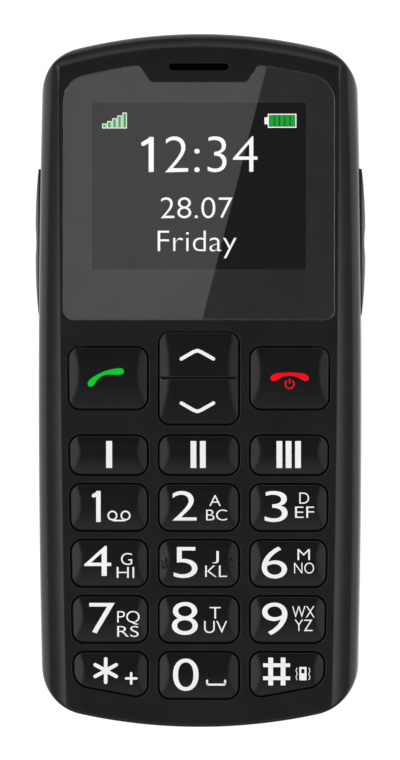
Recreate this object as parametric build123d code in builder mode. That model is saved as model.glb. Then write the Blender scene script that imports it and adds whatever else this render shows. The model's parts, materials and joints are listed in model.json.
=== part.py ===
from build123d import *
import math
import os

# The phone lies on its back: +X to the right of the screen, +Y to the ear end, +Z out of the screen.
# The origin is under the middle of the case, on the surface it lies on. Lengths are millimetres.

# Case in plan
case_length = 118.0
case_width = 55.0
widest_y = -1.6
side_radius = 2015.0
ear_end_radius = 88.0
foot_end_radius = 95.0
ear_corner_radius = 8.0
foot_corner_radius = 8.6

# Case in depth
front_z = 13.6
parting_z = 8.2
cover_top_z = 4.0
face_wall = 1.15
side_wall = 1.3
back_edge_radius = 3.6
back_wall = 1.2
cover_gap = 0.3
deck_wall = 0.8
shelf_wall = 0.8

# Flanks: a crease runs from end to end on each side, and the case is round from there down
crease_mid_x = 23.5
crease_taper = 0.74
crease_bow = 0.31
flank_swell = 0.25
station_shares = (-0.56, -0.28, 0.0, 0.28, 0.56)

# Ear end: a soft bevel follows the end's arc
bevel_width = 3.3
bevel_drop = 1.9
bevel_radius = 3.6
bevel_inset_share = 0.35

# Window and screen
window_width = 46.3
window_foot_y = 10.2
window_ear_margin = 4.75
window_foot_corner = 1.8
window_ear_corner = 4.6
notch_foot_margin = 8.24
notch_foot_width = 16.3
notch_ear_width = 20.7
notch_rise = 0.6
notch_corner = 0.7
window_sink = 0.1
window_gap = 0.12
tape_thickness = 0.1
tape_width = 1.4
ledge_wall = 0.6
ledge_margin = 0.8
screen_width = 36.46
screen_height = 28.36
screen_y = 33.05
screen_margin = 0.35

# Earpiece slot
slot_margin = 5.7
slot_length = 10.2
slot_height = 1.2

# Keys in plan: heights of the rows, and the gaps between them, from the ear end to the foot
key_rows_y = 8.24
navigation_height = 15.8
call_height = 10.71
memory_height = 6.8
digit_height = 8.05
navigation_row_gap = 1.79
row_gap = 1.47
middle_column_width = 13.76
column_gap = 1.76
key_side_margin = 1.25
key_corner = 2.0
foot_key_corner = 2.9
foot_key_angle = 10.6

# Keys in depth
key_gap = 0.25
key_proud = 0.55
key_crown = 0.35
key_facet = 1.4
key_flange = 0.45
key_flange_thickness = 0.4
key_flange_play = 0.1
key_travel = 0.4
key_stop_play = 0.05
rocker_ear_length = 4.0
rocker_play = 0.15
rocker_groove_width = 0.5
rocker_groove_depth = 0.2

# Board
board_bottom_z = 8.6
board_thickness = 0.8
board_margin = 1.8

# Battery and its bay
battery_width = 34.0
battery_length = 53.0
battery_thickness = 5.5
battery_foot_margin = 14.0
bay_gap = 0.3
bay_wall = 0.9
bay_roof_gap = 0.15
bay_roof = 0.8

# Side keys
side_key_length = 24.85
side_key_y = 23.65
side_key_height = 3.05
side_key_top_z = 8.05
side_key_gap = 0.2
side_key_proud_x = 28.2
side_key_end_x = 27.6
side_key_dip = 0.17
side_key_dip_length = 5.0

# Screws and inserts
screw_radius = 0.8
screw_head_radius = 1.4
screw_head_height = 0.9
screw_length = 8.0
screw_seat_z = 3.2
sleeve_radius = 1.9
boss_radius = 1.7
insert_radius = 1.25
insert_length = 2.2
screw_play = 0.15
ear_screw_x = 19.0
ear_screw_margin = 7.2
middle_screw_x = 20.4
middle_screw_y = 8.9

# Charging socket
socket_width = 7.5
socket_height = 2.6
socket_depth = 5.3
socket_wall = 0.3
socket_recess = 0.3
socket_gap = 0.3

# How far a cut runs past what it cuts
overrun = 1.0

ear_y = case_length / 2
foot_y = -case_length / 2
notch_foot_y = ear_y - notch_foot_margin
slot_y = ear_y - slot_margin
battery_foot_y = foot_y + battery_foot_margin
board_top_z = board_bottom_z + board_thickness
cavity_top_z = front_z - face_wall
ledge_bottom_z = cavity_top_z - ledge_wall
tape_top_z = cavity_top_z + tape_thickness
window_thickness = front_z - window_sink - tape_top_z
deck_bottom_z = back_wall + cover_gap
deck_top_z = deck_bottom_z + deck_wall
plug_inset = back_wall + cover_gap
shelf_z = cover_top_z + shelf_wall
battery_bottom_z = deck_bottom_z
battery_top_z = battery_bottom_z + battery_thickness
bay_top_z = battery_top_z + bay_roof_gap
bay_roof_z = bay_top_z + bay_roof
battery_ear_y = battery_foot_y + battery_length
battery_y = (battery_foot_y + battery_ear_y) / 2
flange_top_z = cavity_top_z - key_flange_play
key_bottom_z = flange_top_z - key_flange_thickness
pad_top_z = key_bottom_z - key_travel - key_stop_play
screw_places = [
    (side * x, y)
    for side in (-1, 1)
    for x, y in ((ear_screw_x, ear_y - ear_screw_margin), (middle_screw_x, middle_screw_y))
]


def sagitta(radius, chord):
    """Height of an arc over its chord."""
    return radius - math.sqrt(radius**2 - (chord / 2) ** 2)


def side_x(y):
    """Half the case's width at y, along the shallow arc of its side."""
    return case_width / 2 - sagitta(side_radius, 2 * (y - widest_y))


def crease_x(y):
    """Half the spacing of the two creases at y."""
    ear_share = 2 * y / case_length
    return crease_mid_x + crease_taper * ear_share - crease_bow * ear_share**2


def case_plan(inset):
    """Plan of the case, drawn in by inset all round: what four large circles share, corners rounded."""
    side_centre_x = case_width / 2 - side_radius
    with BuildSketch() as plan:
        with Locations((0, ear_y - ear_end_radius)):
            Circle(ear_end_radius - inset)
        with Locations((0, foot_y + foot_end_radius)):
            Circle(foot_end_radius - inset, mode=Mode.INTERSECT)
        for side in (-1, 1):
            with Locations((side * side_centre_x, widest_y)):
                Circle(side_radius - inset, mode=Mode.INTERSECT)
        fillet(plan.vertices().sort_by(Axis.Y)[-2:], radius=ear_corner_radius - inset)
        fillet(plan.vertices().sort_by(Axis.Y)[:2], radius=foot_corner_radius - inset)
    return plan.sketch


def flank_cutter(inset):
    """What lies outside the right flank, whose section is an arc from the crease down to the side."""
    with BuildPart() as cutter:
        for share in station_shares:
            y = share * case_length
            foot_x = side_x(y) + flank_swell
            across = foot_x - crease_x(y)
            rise = front_z - parting_z
            radius = (across**2 + rise**2) / (2 * across)
            skin = radius - inset
            out_x = foot_x + back_edge_radius
            with BuildSketch(Plane.XZ.offset(-y)):
                with BuildLine():
                    CenterArc((foot_x - radius, parting_z), skin, 0, 90)
                    Polyline(
                        (foot_x - radius, parting_z + skin),
                        (out_x, parting_z + skin),
                        (out_x, parting_z),
                        (foot_x - inset, parting_z),
                    )
                make_face()
        loft()
    return cutter.part


def bevel_cutter(side_inset, face_inset):
    """What lies outside the bevel of the ear end, turned about the centre of the end's arc."""
    start = (ear_y - bevel_width, front_z - face_inset)
    end = (ear_y - side_inset, front_z - bevel_drop - bevel_inset_share * side_inset)
    out_y = ear_y + overrun
    out_z = front_z + overrun
    with BuildPart() as cutter:
        with BuildSketch(Plane.YZ):
            with BuildLine():
                RadiusArc(start, end, bevel_radius)
                Polyline(end, (out_y, end[1]), (out_y, out_z), (start[0], out_z), start)
            make_face()
        revolve(axis=Axis((0, ear_y - ear_end_radius, 0), (0, 0, 1)))
    return cutter.part


def notch_plan(grow):
    """Plan of the tongue of the cover that comes down into the window round the earpiece slot."""
    slant = (notch_ear_width - notch_foot_width) / 2 / (slot_y + notch_rise - notch_foot_y)
    top_half_width = notch_foot_width / 2 + slant * (ear_y - notch_foot_y)
    with BuildSketch() as plan:
        with BuildLine():
            Polyline(
                (-top_half_width, ear_y),
                (-notch_foot_width / 2, notch_foot_y),
                (notch_foot_width / 2, notch_foot_y),
                (top_half_width, ear_y),
                close=True,
            )
        make_face()
        if grow != 0:
            offset(amount=grow, kind=Kind.INTERSECTION)
    return plan.sketch


def window_plan(grow, notched=True):
    """Plan of the window, whose ear edge follows the ear end's arc."""
    ear_radius = ear_end_radius - window_ear_margin + grow
    ear_corner = window_ear_corner + grow
    with BuildSketch() as plan:
        with Locations((0, window_foot_y - grow)):
            Rectangle(window_width + 2 * grow, case_length, align=(Align.CENTER, Align.MIN))
        with Locations((0, ear_y - ear_end_radius)):
            Circle(ear_radius, mode=Mode.INTERSECT)
        fillet(plan.vertices().sort_by(Axis.Y)[:2], radius=window_foot_corner + grow)
        fillet(plan.vertices().sort_by(Axis.Y)[-2:], radius=ear_corner)
        if notched:
            add(notch_plan(-grow), mode=Mode.SUBTRACT)
            foot_line = plan.vertices().filter_by(lambda v: abs(v.Y - notch_foot_y - grow) < overrun)
            low = foot_line.filter_by(lambda v: abs(v.X) < notch_foot_width / 2 + overrun)
            fillet(low, radius=notch_corner - grow)
            high = plan.vertices().sort_by(Axis.Y)[-2:]
            fillet(high, radius=notch_corner + grow)
    return plan.sketch


def key_table():
    """Place of every key: name, column (-1, 0 or 1), top and bottom."""
    rows = [("navigation", key_rows_y, navigation_height)]
    top = key_rows_y - navigation_height - navigation_row_gap
    for row, height in (("memory", memory_height), ("one", digit_height), ("four", digit_height)):
        rows.append((row, top, height))
        top = top - height - row_gap
    for row in ("seven", "foot"):
        rows.append((row, top, digit_height))
        top = top - digit_height - row_gap
    names = {
        "navigation": ("call_key", "navigation_key", "end_key"),
        "memory": ("memory_key_1", "memory_key_2", "memory_key_3"),
        "one": ("key_1", "key_2", "key_3"),
        "four": ("key_4", "key_5", "key_6"),
        "seven": ("key_7", "key_8", "key_9"),
        "foot": ("star_key", "key_0", "hash_key"),
    }
    table = []
    for row, row_top, height in rows:
        for column, name in zip((-1, 0, 1), names[row]):
            top, bottom = row_top, row_top - height
            if row == "navigation" and column != 0:
                top = row_top - (navigation_height - call_height) / 2
                bottom = top - call_height
            table.append((name, column, top, bottom))
    return table


def key_plan(column, top, bottom, slope_angle, grow):
    """Plan of one key. A side key's outer edge keeps its margin to the crease."""
    with BuildSketch() as plan:
        if column == 0:
            with Locations((0, (top + bottom) / 2)):
                Rectangle(middle_column_width + 2 * grow, top - bottom + 2 * grow)
            fillet(plan.vertices(), radius=key_corner + grow)
        else:
            inner = middle_column_width / 2 + column_gap
            top_x = crease_x(top) - key_side_margin
            foot_x = crease_x(bottom) - key_side_margin
            foot_rise = (foot_x - inner) * math.tan(math.radians(slope_angle))
            with BuildLine():
                Polyline(
                    (column * inner, top),
                    (column * top_x, top),
                    (column * foot_x, bottom + foot_rise),
                    (column * inner, bottom),
                    close=True,
                )
            make_face()
            if grow != 0:
                offset(amount=grow, kind=Kind.INTERSECTION)
            outer_foot = plan.vertices().sort_by(Axis.Y)[:2].sort_by(lambda v: abs(v.X))[-1]
            apart = [(vertex, (Vector(vertex) - Vector(outer_foot)).length) for vertex in plan.vertices()]
            others = [vertex for vertex, gap in apart if gap > key_corner]
            outer_radius = foot_key_corner if slope_angle > 0 else key_corner
            fillet(others, radius=key_corner + grow)
            outer_foot = plan.vertices().sort_by(lambda v: (Vector(v) - Vector(outer_foot)).length)[0]
            fillet(outer_foot, radius=outer_radius + grow)
    return plan.sketch


def slab(plan, low, high, mode=Mode.ADD):
    """Adds or cuts a plan carried from one height to another."""
    with BuildSketch(Plane.XY.offset(low)) as section:
        add(plan)
    extrude(section.sketch, amount=high - low, mode=mode)


def block(place, width, length, low, high, corner=0, mode=Mode.ADD):
    """Adds or cuts an upright block with square or rounded corners."""
    with BuildSketch(Plane.XY.offset(low)) as section:
        with Locations(place):
            if corner > 0:
                RectangleRounded(width, length, corner)
            else:
                Rectangle(width, length)
    extrude(section.sketch, amount=high - low, mode=mode)


def post(places, radius, low, high, mode=Mode.ADD):
    """Adds or cuts upright round posts."""
    with BuildSketch(Plane.XY.offset(low)) as section:
        with Locations(*places):
            Circle(radius)
    extrude(section.sketch, amount=high - low, mode=mode)


def save(name, builder):
    """Labels a finished piece and writes it."""
    builder.part.label = name
    export_step(builder.part, f"parts/{name}.step")
    print(name, len(builder.part.solids()), round(builder.part.volume, 2))


os.makedirs("parts", exist_ok=True)
keys = key_table()
key_slope = {"star_key": foot_key_angle, "hash_key": foot_key_angle}
key_plans = {name: (column, top, bottom, key_slope.get(name, 0)) for name, column, top, bottom in keys}


# Battery cover: a shallow tray that is the whole back, with a round edge and six tongues
tongue_length = 5.0
tongue_height = 1.0
tongue_wall = 0.6
tongue_margin = 0.5
tongue_gap = 0.2
tongue_y_shares = (-0.3, 0.05, 0.38)
grille_slots = 5
grille_slot_length = 9.0
grille_slot_width = 0.9
grille_pitch = 1.9
loudspeaker_y = 36.0
pry_notch_width = 9.0
pry_notch_height = 0.7
pry_notch_depth = 0.9


def tongue_places(grow):
    """Adds the six tongues, or cuts their pockets when they are grown."""
    mode = Mode.SUBTRACT if grow > 0 else Mode.ADD
    for y_share in tongue_y_shares:
        y = y_share * case_length
        middle_x = side_x(y) - tongue_margin - tongue_wall / 2
        for side in (-1, 1):
            block(
                (side * middle_x, y),
                tongue_wall + 2 * grow,
                tongue_length + 2 * grow,
                cover_top_z - (0 if grow > 0 else tongue_wall),
                cover_top_z + tongue_height + grow,
                mode=mode,
            )


def grille(low, high):
    """Cuts the loudspeaker's slots."""
    with BuildSketch(Plane.XY.offset(low)) as slots:
        with Locations((0, loudspeaker_y)):
            with GridLocations(0, grille_pitch, 1, grille_slots):
                SlotOverall(grille_slot_length, grille_slot_width)
    extrude(slots.sketch, amount=high - low, mode=Mode.SUBTRACT)


with BuildPart() as cover_hollow:
    slab(case_plan(back_wall), back_wall, cover_top_z + overrun)
    fillet(cover_hollow.faces().sort_by(Axis.Z)[0].edges(), radius=back_edge_radius - back_wall)

with BuildPart() as battery_cover:
    slab(case_plan(0), 0, cover_top_z)
    fillet(battery_cover.faces().sort_by(Axis.Z)[0].edges(), radius=back_edge_radius)
    add(cover_hollow.part, mode=Mode.SUBTRACT)
    tongue_places(0)
    grille(-overrun, back_wall + overrun)
    block(
        (0, foot_y),
        pry_notch_width,
        2 * pry_notch_depth,
        cover_top_z - pry_notch_height,
        cover_top_z + overrun,
        mode=Mode.SUBTRACT,
    )
save("battery_cover", battery_cover)


# Rear housing: the band between the two covers, with the battery bay and what carries the board
switch_width = 4.6
switch_depth = 2.2
switch_height = 3.0
switch_face_x = 24.3
switch_offset = 9.0
switch_button = 0.35
switch_button_share = 1 / 3
side_flange_x = 24.7
side_flange_wall = 0.6
side_flange_margin = 0.6
pivot_width = 1.2
pivot_length = 1.6
pivot_gap = 0.08
contact_width = 8.0
contact_depth = 3.4
contact_height = 5.2
contact_gap = 0.15
contact_y = battery_ear_y + bay_gap + contact_depth / 2
sim_width = 16.5
sim_length = 14.5
sim_place = 26.0
sim_y = battery_foot_y + sim_place
memory_card_width = 14.5
memory_card_length = 13.0
memory_card_place = 42.6
memory_card_y = battery_foot_y + memory_card_place
holder_height = 1.3
holder_gap = 0.4
board_rib_width = 1.0
board_rib_places = (0.16, 30.84)
motor_x = -17.0
motor_y = 37.0
motor_radius = 2.2
motor_length = 10.0
motor_gap = 0.1
motor_z = deck_top_z + motor_radius + motor_gap
cradle_wall = 1.0
cradle_width = 6.4
cradle_share = 0.3
cradle_height = 1.6
speaker_width = 15.0
speaker_length = 11.0
speaker_height = 3.4
speaker_corner = 2.0
speaker_gasket = 0.3
speaker_frame_wall = 0.8
speaker_frame_height = 1.8
speaker_frame_gap = 0.2
hook_x = 15.0
hook_width = 4.0
hook_wall = 0.8
hook_drop = 1.8
hook_gap = 0.15
microphone_x = 9.2
microphone_radius = 1.85
microphone_z = board_bottom_z - microphone_radius
microphone_depth = 1.5
microphone_hole_radius = 0.5
boot_wall = 0.35
carrier_width = 33.0
carrier_length = 6.0
carrier_height = 2.6
carrier_margin = 8.6
carrier_corner = 1.0
carrier_y = foot_y + carrier_margin
socket_z = board_bottom_z - socket_height / 2
foot_wall_y = foot_y + side_wall


def socket_opening():
    """Cuts the mouth of the charging socket through the foot end's wall."""
    with BuildSketch(Plane.XZ.offset(overrun - foot_y)) as mouth:
        with Locations((0, socket_z)):
            RectangleRounded(
                socket_width + 2 * socket_gap,
                socket_height + 2 * socket_gap,
                socket_height / 4,
            )
    extrude(mouth.sketch, amount=-(overrun + 2 * side_wall), mode=Mode.SUBTRACT)


def side_key_slot(side):
    """Cuts one side key's slot, open at the parting line."""
    low = side_key_top_z - side_key_height - side_key_gap
    block(
        (side * (case_width / 2), side_key_y),
        2 * (case_width / 2 - side_flange_x - side_flange_wall),
        side_key_length + 2 * side_key_gap,
        low,
        parting_z + overrun,
        mode=Mode.SUBTRACT,
    )


with BuildPart() as rear_hollow:
    slab(case_plan(plug_inset + bay_wall), deck_top_z, parting_z)
    fillet(rear_hollow.faces().sort_by(Axis.Z)[0].edges(), radius=bay_wall)
    slab(case_plan(side_wall), shelf_z, parting_z + overrun)
    # What stands up inside is taken out of the hollow
    block(
        (0, battery_y),
        battery_width + 2 * bay_gap + 2 * bay_wall,
        battery_length + 2 * bay_gap + 2 * bay_wall,
        deck_bottom_z,
        bay_roof_z,
        mode=Mode.SUBTRACT,
    )
    post(screw_places, sleeve_radius, deck_bottom_z, parting_z + overrun, mode=Mode.SUBTRACT)
    for side in (-1, 1):
        block(
            (side * (side_flange_x - pivot_gap - pivot_length / 2), side_key_y),
            pivot_length,
            pivot_width,
            deck_bottom_z,
            side_key_top_z,
            mode=Mode.SUBTRACT,
        )
    for end in (-1, 1):
        block(
            (motor_x, motor_y + end * cradle_share * motor_length),
            cradle_width,
            cradle_wall,
            deck_bottom_z,
            deck_top_z + cradle_height,
            mode=Mode.SUBTRACT,
        )

with BuildPart() as speaker_frame:
    block(
        (0, loudspeaker_y),
        speaker_width + 2 * speaker_frame_gap + 2 * speaker_frame_wall,
        speaker_length + 2 * speaker_frame_gap + 2 * speaker_frame_wall,
        deck_top_z,
        deck_top_z + speaker_frame_height,
        corner=speaker_corner + speaker_frame_gap + speaker_frame_wall,
    )
    block(
        (0, loudspeaker_y),
        speaker_width + 2 * speaker_frame_gap,
        speaker_length + 2 * speaker_frame_gap,
        deck_top_z,
        deck_top_z + speaker_frame_height,
        corner=speaker_corner + speaker_frame_gap,
        mode=Mode.SUBTRACT,
    )

with BuildPart() as rear_housing:
    slab(case_plan(plug_inset), deck_bottom_z, cover_top_z)
    fillet(
        rear_housing.faces().sort_by(Axis.Z)[0].edges(),
        radius=back_edge_radius - back_wall - cover_gap,
    )
    slab(case_plan(0), cover_top_z, parting_z)
    add(rear_hollow.part, mode=Mode.SUBTRACT)
    add(speaker_frame.part)
    # The sleeves and ribs that carry the board
    post(screw_places, sleeve_radius, shelf_z, board_bottom_z)
    for rib_place in board_rib_places:
        block(
            (0, battery_foot_y + rib_place),
            battery_width,
            board_rib_width,
            bay_roof_z,
            board_bottom_z,
        )
    # Battery bay, with its windows for the contacts and the card holders
    block(
        (0, battery_y),
        battery_width + 2 * bay_gap,
        battery_length + 2 * bay_gap,
        deck_bottom_z - overrun,
        bay_top_z,
        mode=Mode.SUBTRACT,
    )
    block(
        (0, contact_y),
        contact_width + 2 * holder_gap,
        contact_depth + 2 * bay_wall,
        board_bottom_z - contact_height - contact_gap,
        board_bottom_z,
        mode=Mode.SUBTRACT,
    )
    for width, length, y in (
        (sim_width, sim_length, sim_y),
        (memory_card_width, memory_card_length, memory_card_y),
    ):
        block(
            (0, y),
            width + 2 * holder_gap,
            length + 2 * holder_gap,
            bay_top_z - overrun,
            board_bottom_z,
            mode=Mode.SUBTRACT,
        )
    # Screws, from the back
    post(screw_places, screw_radius + screw_play, deck_bottom_z, board_bottom_z, mode=Mode.SUBTRACT)
    post(
        screw_places,
        screw_head_radius + screw_play,
        deck_bottom_z - overrun,
        screw_seat_z,
        mode=Mode.SUBTRACT,
    )
    # Motor cradle
    with BuildSketch(Plane.XZ.offset(-motor_y)) as seat:
        with Locations((motor_x, motor_z)):
            Circle(motor_radius + motor_gap)
    extrude(seat.sketch, amount=motor_length / 2, both=True, mode=Mode.SUBTRACT)
    grille(deck_bottom_z - overrun, deck_top_z + overrun)
    tongue_places(tongue_gap)
    socket_opening()
    for side in (-1, 1):
        side_key_slot(side)
    with BuildSketch(Plane.XZ.offset(overrun - foot_y)) as sound_hole:
        with Locations((microphone_x, microphone_z)):
            Circle(microphone_hole_radius)
    extrude(sound_hole.sketch, amount=-(2 * overrun + 2 * side_wall), mode=Mode.SUBTRACT)
save("rear_housing", rear_housing)


# Front cover: the face, the flanks and the bevel, open over the keys, the window and the slot
with BuildPart() as front_hollow:
    slab(case_plan(side_wall), parting_z - overrun, cavity_top_z)
    add(flank_cutter(side_wall), mode=Mode.SUBTRACT)
    mirror(flank_cutter(side_wall), about=Plane.YZ, mode=Mode.SUBTRACT)
    add(bevel_cutter(side_wall, face_wall), mode=Mode.SUBTRACT)
    slab(window_plan(ledge_margin, notched=False), ledge_bottom_z, cavity_top_z, mode=Mode.SUBTRACT)
    block(
        (0, slot_y),
        slot_length + 2 * ledge_margin,
        slot_height + 2 * ledge_margin,
        ledge_bottom_z,
        cavity_top_z,
        mode=Mode.SUBTRACT,
    )
    post(screw_places, boss_radius, board_top_z, cavity_top_z, mode=Mode.SUBTRACT)

with BuildPart() as front_cover:
    slab(case_plan(0), parting_z, front_z)
    add(flank_cutter(0), mode=Mode.SUBTRACT)
    mirror(flank_cutter(0), about=Plane.YZ, mode=Mode.SUBTRACT)
    add(bevel_cutter(0, 0), mode=Mode.SUBTRACT)
    add(front_hollow.part, mode=Mode.SUBTRACT)
    # Window recess, and the screen's opening through its ledge
    slab(window_plan(window_gap), cavity_top_z, front_z + overrun, mode=Mode.SUBTRACT)
    block(
        (0, screen_y),
        screen_width + 2 * screen_margin,
        screen_height + 2 * screen_margin,
        ledge_bottom_z - overrun,
        front_z,
        mode=Mode.SUBTRACT,
    )
    for name, plan_of_key in key_plans.items():
        slab(key_plan(*plan_of_key, key_gap / 2), ledge_bottom_z, front_z + overrun, mode=Mode.SUBTRACT)
    with BuildSketch(Plane.XY.offset(ledge_bottom_z - overrun)) as slot:
        with Locations((0, slot_y)):
            SlotOverall(slot_length, slot_height)
    extrude(slot.sketch, amount=front_z - ledge_bottom_z + 2 * overrun, mode=Mode.SUBTRACT)
    post(screw_places, insert_radius, board_top_z - overrun, board_top_z + insert_length, mode=Mode.SUBTRACT)
    socket_opening()
    # Hooks that hold the foot end down, clear of the board
    hook_top_z = board_bottom_z - hook_gap
    hook_y = foot_wall_y + sagitta(foot_end_radius, 2 * hook_x + hook_width) + hook_gap + hook_wall / 2
    for side in (-1, 1):
        block((side * hook_x, hook_y), hook_width, hook_wall, parting_z - hook_drop, hook_top_z)
        block((side * hook_x, hook_y - hook_wall), hook_width, 2 * hook_wall, parting_z, hook_top_z)
save("front_cover", front_cover)


# Window: a clear plate with a black border, taped into its recess
with BuildPart() as display_window:
    slab(window_plan(0), tape_top_z, tape_top_z + window_thickness)
save("display_window", display_window)

with BuildPart() as window_adhesive:
    slab(window_plan(-tape_thickness), cavity_top_z, tape_top_z)
    block(
        (0, screen_y),
        window_width - 2 * tape_width,
        screen_height + 2 * screen_margin + tape_width,
        cavity_top_z,
        tape_top_z,
        corner=tape_width,
        mode=Mode.SUBTRACT,
    )
save("window_adhesive", window_adhesive)


# Screen: the panel, its lamp unit, the foam ring under the cover and the flexible lead to the board
panel_width = 43.3
panel_height = 33.4
panel_left_border = 2.4
active_width = 35.04
panel_thickness = 0.9
lamp_thickness = 1.0
gasket_thickness = ledge_bottom_z - board_top_z - lamp_thickness - panel_thickness
panel_gap = 0.3
panel_bottom_z = board_top_z + panel_gap + lamp_thickness
panel_top_z = panel_bottom_z + panel_thickness
panel_x = (panel_width - active_width) / 2 - panel_left_border
lead_width = 12.0
lead_thickness = 0.12
lead_reach = 6.0
lead_bend = 0.45

with BuildPart() as lcd_panel:
    block((panel_x, screen_y), panel_width, panel_height, panel_bottom_z, panel_top_z)
save("lcd_panel", lcd_panel)

with BuildPart() as backlight_unit:
    block(
        (panel_x, screen_y),
        panel_width,
        panel_height,
        board_top_z + panel_gap,
        panel_bottom_z,
        corner=panel_gap,
    )
save("backlight_unit", backlight_unit)

gasket_wall = 1.2
with BuildPart() as display_gasket:
    block(
        (0, screen_y),
        screen_width + 2 * screen_margin + 2 * gasket_wall,
        screen_height + 2 * screen_margin + 2 * gasket_wall,
        panel_top_z,
        ledge_bottom_z,
    )
    block(
        (0, screen_y),
        screen_width + 2 * screen_margin,
        screen_height + 2 * screen_margin,
        panel_top_z,
        ledge_bottom_z,
        mode=Mode.SUBTRACT,
    )
save("display_gasket", display_gasket)

lead_edge_x = panel_x + panel_width / 2
lead_top_z = panel_bottom_z + lead_thickness
lead_low_z = board_top_z + lead_thickness / 2
with BuildPart() as display_flex:
    lead_bend_x = lead_edge_x + lead_thickness
    with BuildSketch(Plane.XZ.offset(-screen_y)) as lead_section:
        with BuildLine():
            Line((lead_edge_x - lead_reach, lead_low_z), (lead_bend_x, lead_low_z))
            RadiusArc((lead_bend_x, lead_low_z), (lead_bend_x, lead_top_z), -(lead_top_z - lead_low_z) / 2)
            Line((lead_bend_x, lead_top_z), (lead_edge_x, lead_top_z))
        trace(line_width=lead_thickness)
    extrude(lead_section.sketch, amount=lead_width / 2, both=True)
save("display_flex", display_flex)


# Keys: each has a flange under the face and a crown with a sloping facet at either side
def key_cap(name):
    """A key: crowned from its ear side to its foot side, with a facet at its left and right."""
    column, top, bottom, slope_angle = key_plans[name]
    crown_z = front_z + key_proud
    half = (top - bottom) / 2
    middle_y = (top + bottom) / 2
    with BuildPart() as cap:
        slab(key_plan(column, top, bottom, slope_angle, -key_gap / 2), key_bottom_z, crown_z)
        span = cap.part.bounding_box()
        middle_x = (span.min.X + span.max.X) / 2
        half_x = (span.max.X - span.min.X) / 2
        with BuildSketch(Plane.YZ.offset(span.min.X - overrun)) as crown:
            with BuildLine():
                ThreePointArc(
                    (middle_y - half, crown_z - key_crown),
                    (middle_y, crown_z),
                    (middle_y + half, crown_z - key_crown),
                )
                Polyline(
                    (middle_y + half, crown_z - key_crown),
                    (middle_y + half, key_bottom_z),
                    (middle_y - half, key_bottom_z),
                    (middle_y - half, crown_z - key_crown),
                )
            make_face()
        extrude(crown.sketch, amount=2 * half_x + 2 * overrun, mode=Mode.INTERSECT)
        with BuildSketch(Plane.XZ.offset(-(middle_y + half + overrun))) as facets:
            with BuildLine():
                Polyline(
                    (middle_x - half_x, key_bottom_z),
                    (middle_x - half_x, crown_z - key_crown),
                    (middle_x - half_x + key_facet, crown_z),
                    (middle_x + half_x - key_facet, crown_z),
                    (middle_x + half_x, crown_z - key_crown),
                    (middle_x + half_x, key_bottom_z),
                    close=True,
                )
            make_face()
        extrude(facets.sketch, amount=2 * half + 2 * overrun, mode=Mode.INTERSECT)
        if name == "navigation_key":
            block(
                (0, middle_y),
                middle_column_width + 2 * key_flange,
                rocker_ear_length,
                key_bottom_z,
                flange_top_z - rocker_play,
            )
            block(
                (0, middle_y),
                middle_column_width + overrun,
                rocker_groove_width,
                crown_z - rocker_groove_depth,
                crown_z + overrun,
                mode=Mode.SUBTRACT,
            )
        else:
            slab(
                key_plan(column, top, bottom, slope_angle, key_flange - key_gap / 2),
                key_bottom_z,
                flange_top_z,
            )
    return cap


for name in key_plans:
    save(name, key_cap(name))


# Keypad mat: a silicone sheet with a pad under each key and a plunger over each dome
mat_foot_y = -54.3
mat_ear_y = 6.8
mat_width = 45.4
mat_corner = 7.0
mat_web_z = 10.6
mat_web = 0.4
mat_rim = 0.9
mat_clearance = 0.05
pad_shrink = 0.9
plunger_radius = 1.25
dome_radius = 2.4
dome_height = 0.3
plunger_gap = 0.1
mat_y = (mat_foot_y + mat_ear_y) / 2
mat_length = mat_ear_y - mat_foot_y
dome_top_z = board_top_z + dome_height
rocker_dome_share = 0.18


def dome_places():
    """One dome under the middle of every key, and two under the navigation key."""
    places = []
    for column, top, bottom, slope_angle in key_plans.values():
        middle_y = (top + bottom) / 2
        inner = middle_column_width / 2 + column_gap
        x = column * (inner + crease_x(middle_y) - key_side_margin) / 2
        if top - bottom > call_height and column == 0:
            for end in (-1, 1):
                places.append((x, middle_y + end * rocker_dome_share * navigation_height))
        else:
            places.append((x, middle_y))
    return places


with BuildPart() as keypad_mat:
    block(
        (0, mat_y),
        mat_width,
        mat_length,
        board_top_z + mat_clearance,
        mat_web_z + mat_web,
        corner=mat_corner,
    )
    block(
        (0, mat_y),
        mat_width - 2 * mat_rim,
        mat_length - 2 * mat_rim,
        board_top_z,
        mat_web_z,
        corner=mat_corner - mat_rim,
        mode=Mode.SUBTRACT,
    )
    for plan_of_key in key_plans.values():
        slab(key_plan(*plan_of_key, -pad_shrink), mat_web_z, pad_top_z)
    post(dome_places(), plunger_radius, dome_top_z + plunger_gap, mat_web_z)
save("keypad_mat", keypad_mat)

with BuildPart() as key_domes:
    dome_arc_radius = (dome_radius**2 + dome_height**2) / (2 * dome_height)
    for place in dome_places():
        with BuildSketch(Plane.XZ) as dome_section:
            with BuildLine():
                ThreePointArc(
                    (0, dome_top_z),
                    (dome_radius / 2, dome_top_z - sagitta(dome_arc_radius, dome_radius)),
                    (dome_radius, board_top_z),
                )
                Polyline((dome_radius, board_top_z), (0, board_top_z), (0, dome_top_z))
            make_face()
        dome = revolve(dome_section.sketch, axis=Axis.Z, mode=Mode.PRIVATE)
        with Locations(place):
            add(dome)
save("key_domes", key_domes)


# Board, with its screw holes
with BuildPart() as main_board:
    slab(case_plan(board_margin), board_bottom_z, board_top_z)
    post(screw_places, screw_radius + screw_play, board_bottom_z, board_top_z, mode=Mode.SUBTRACT)
save("main_board", main_board)

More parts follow.
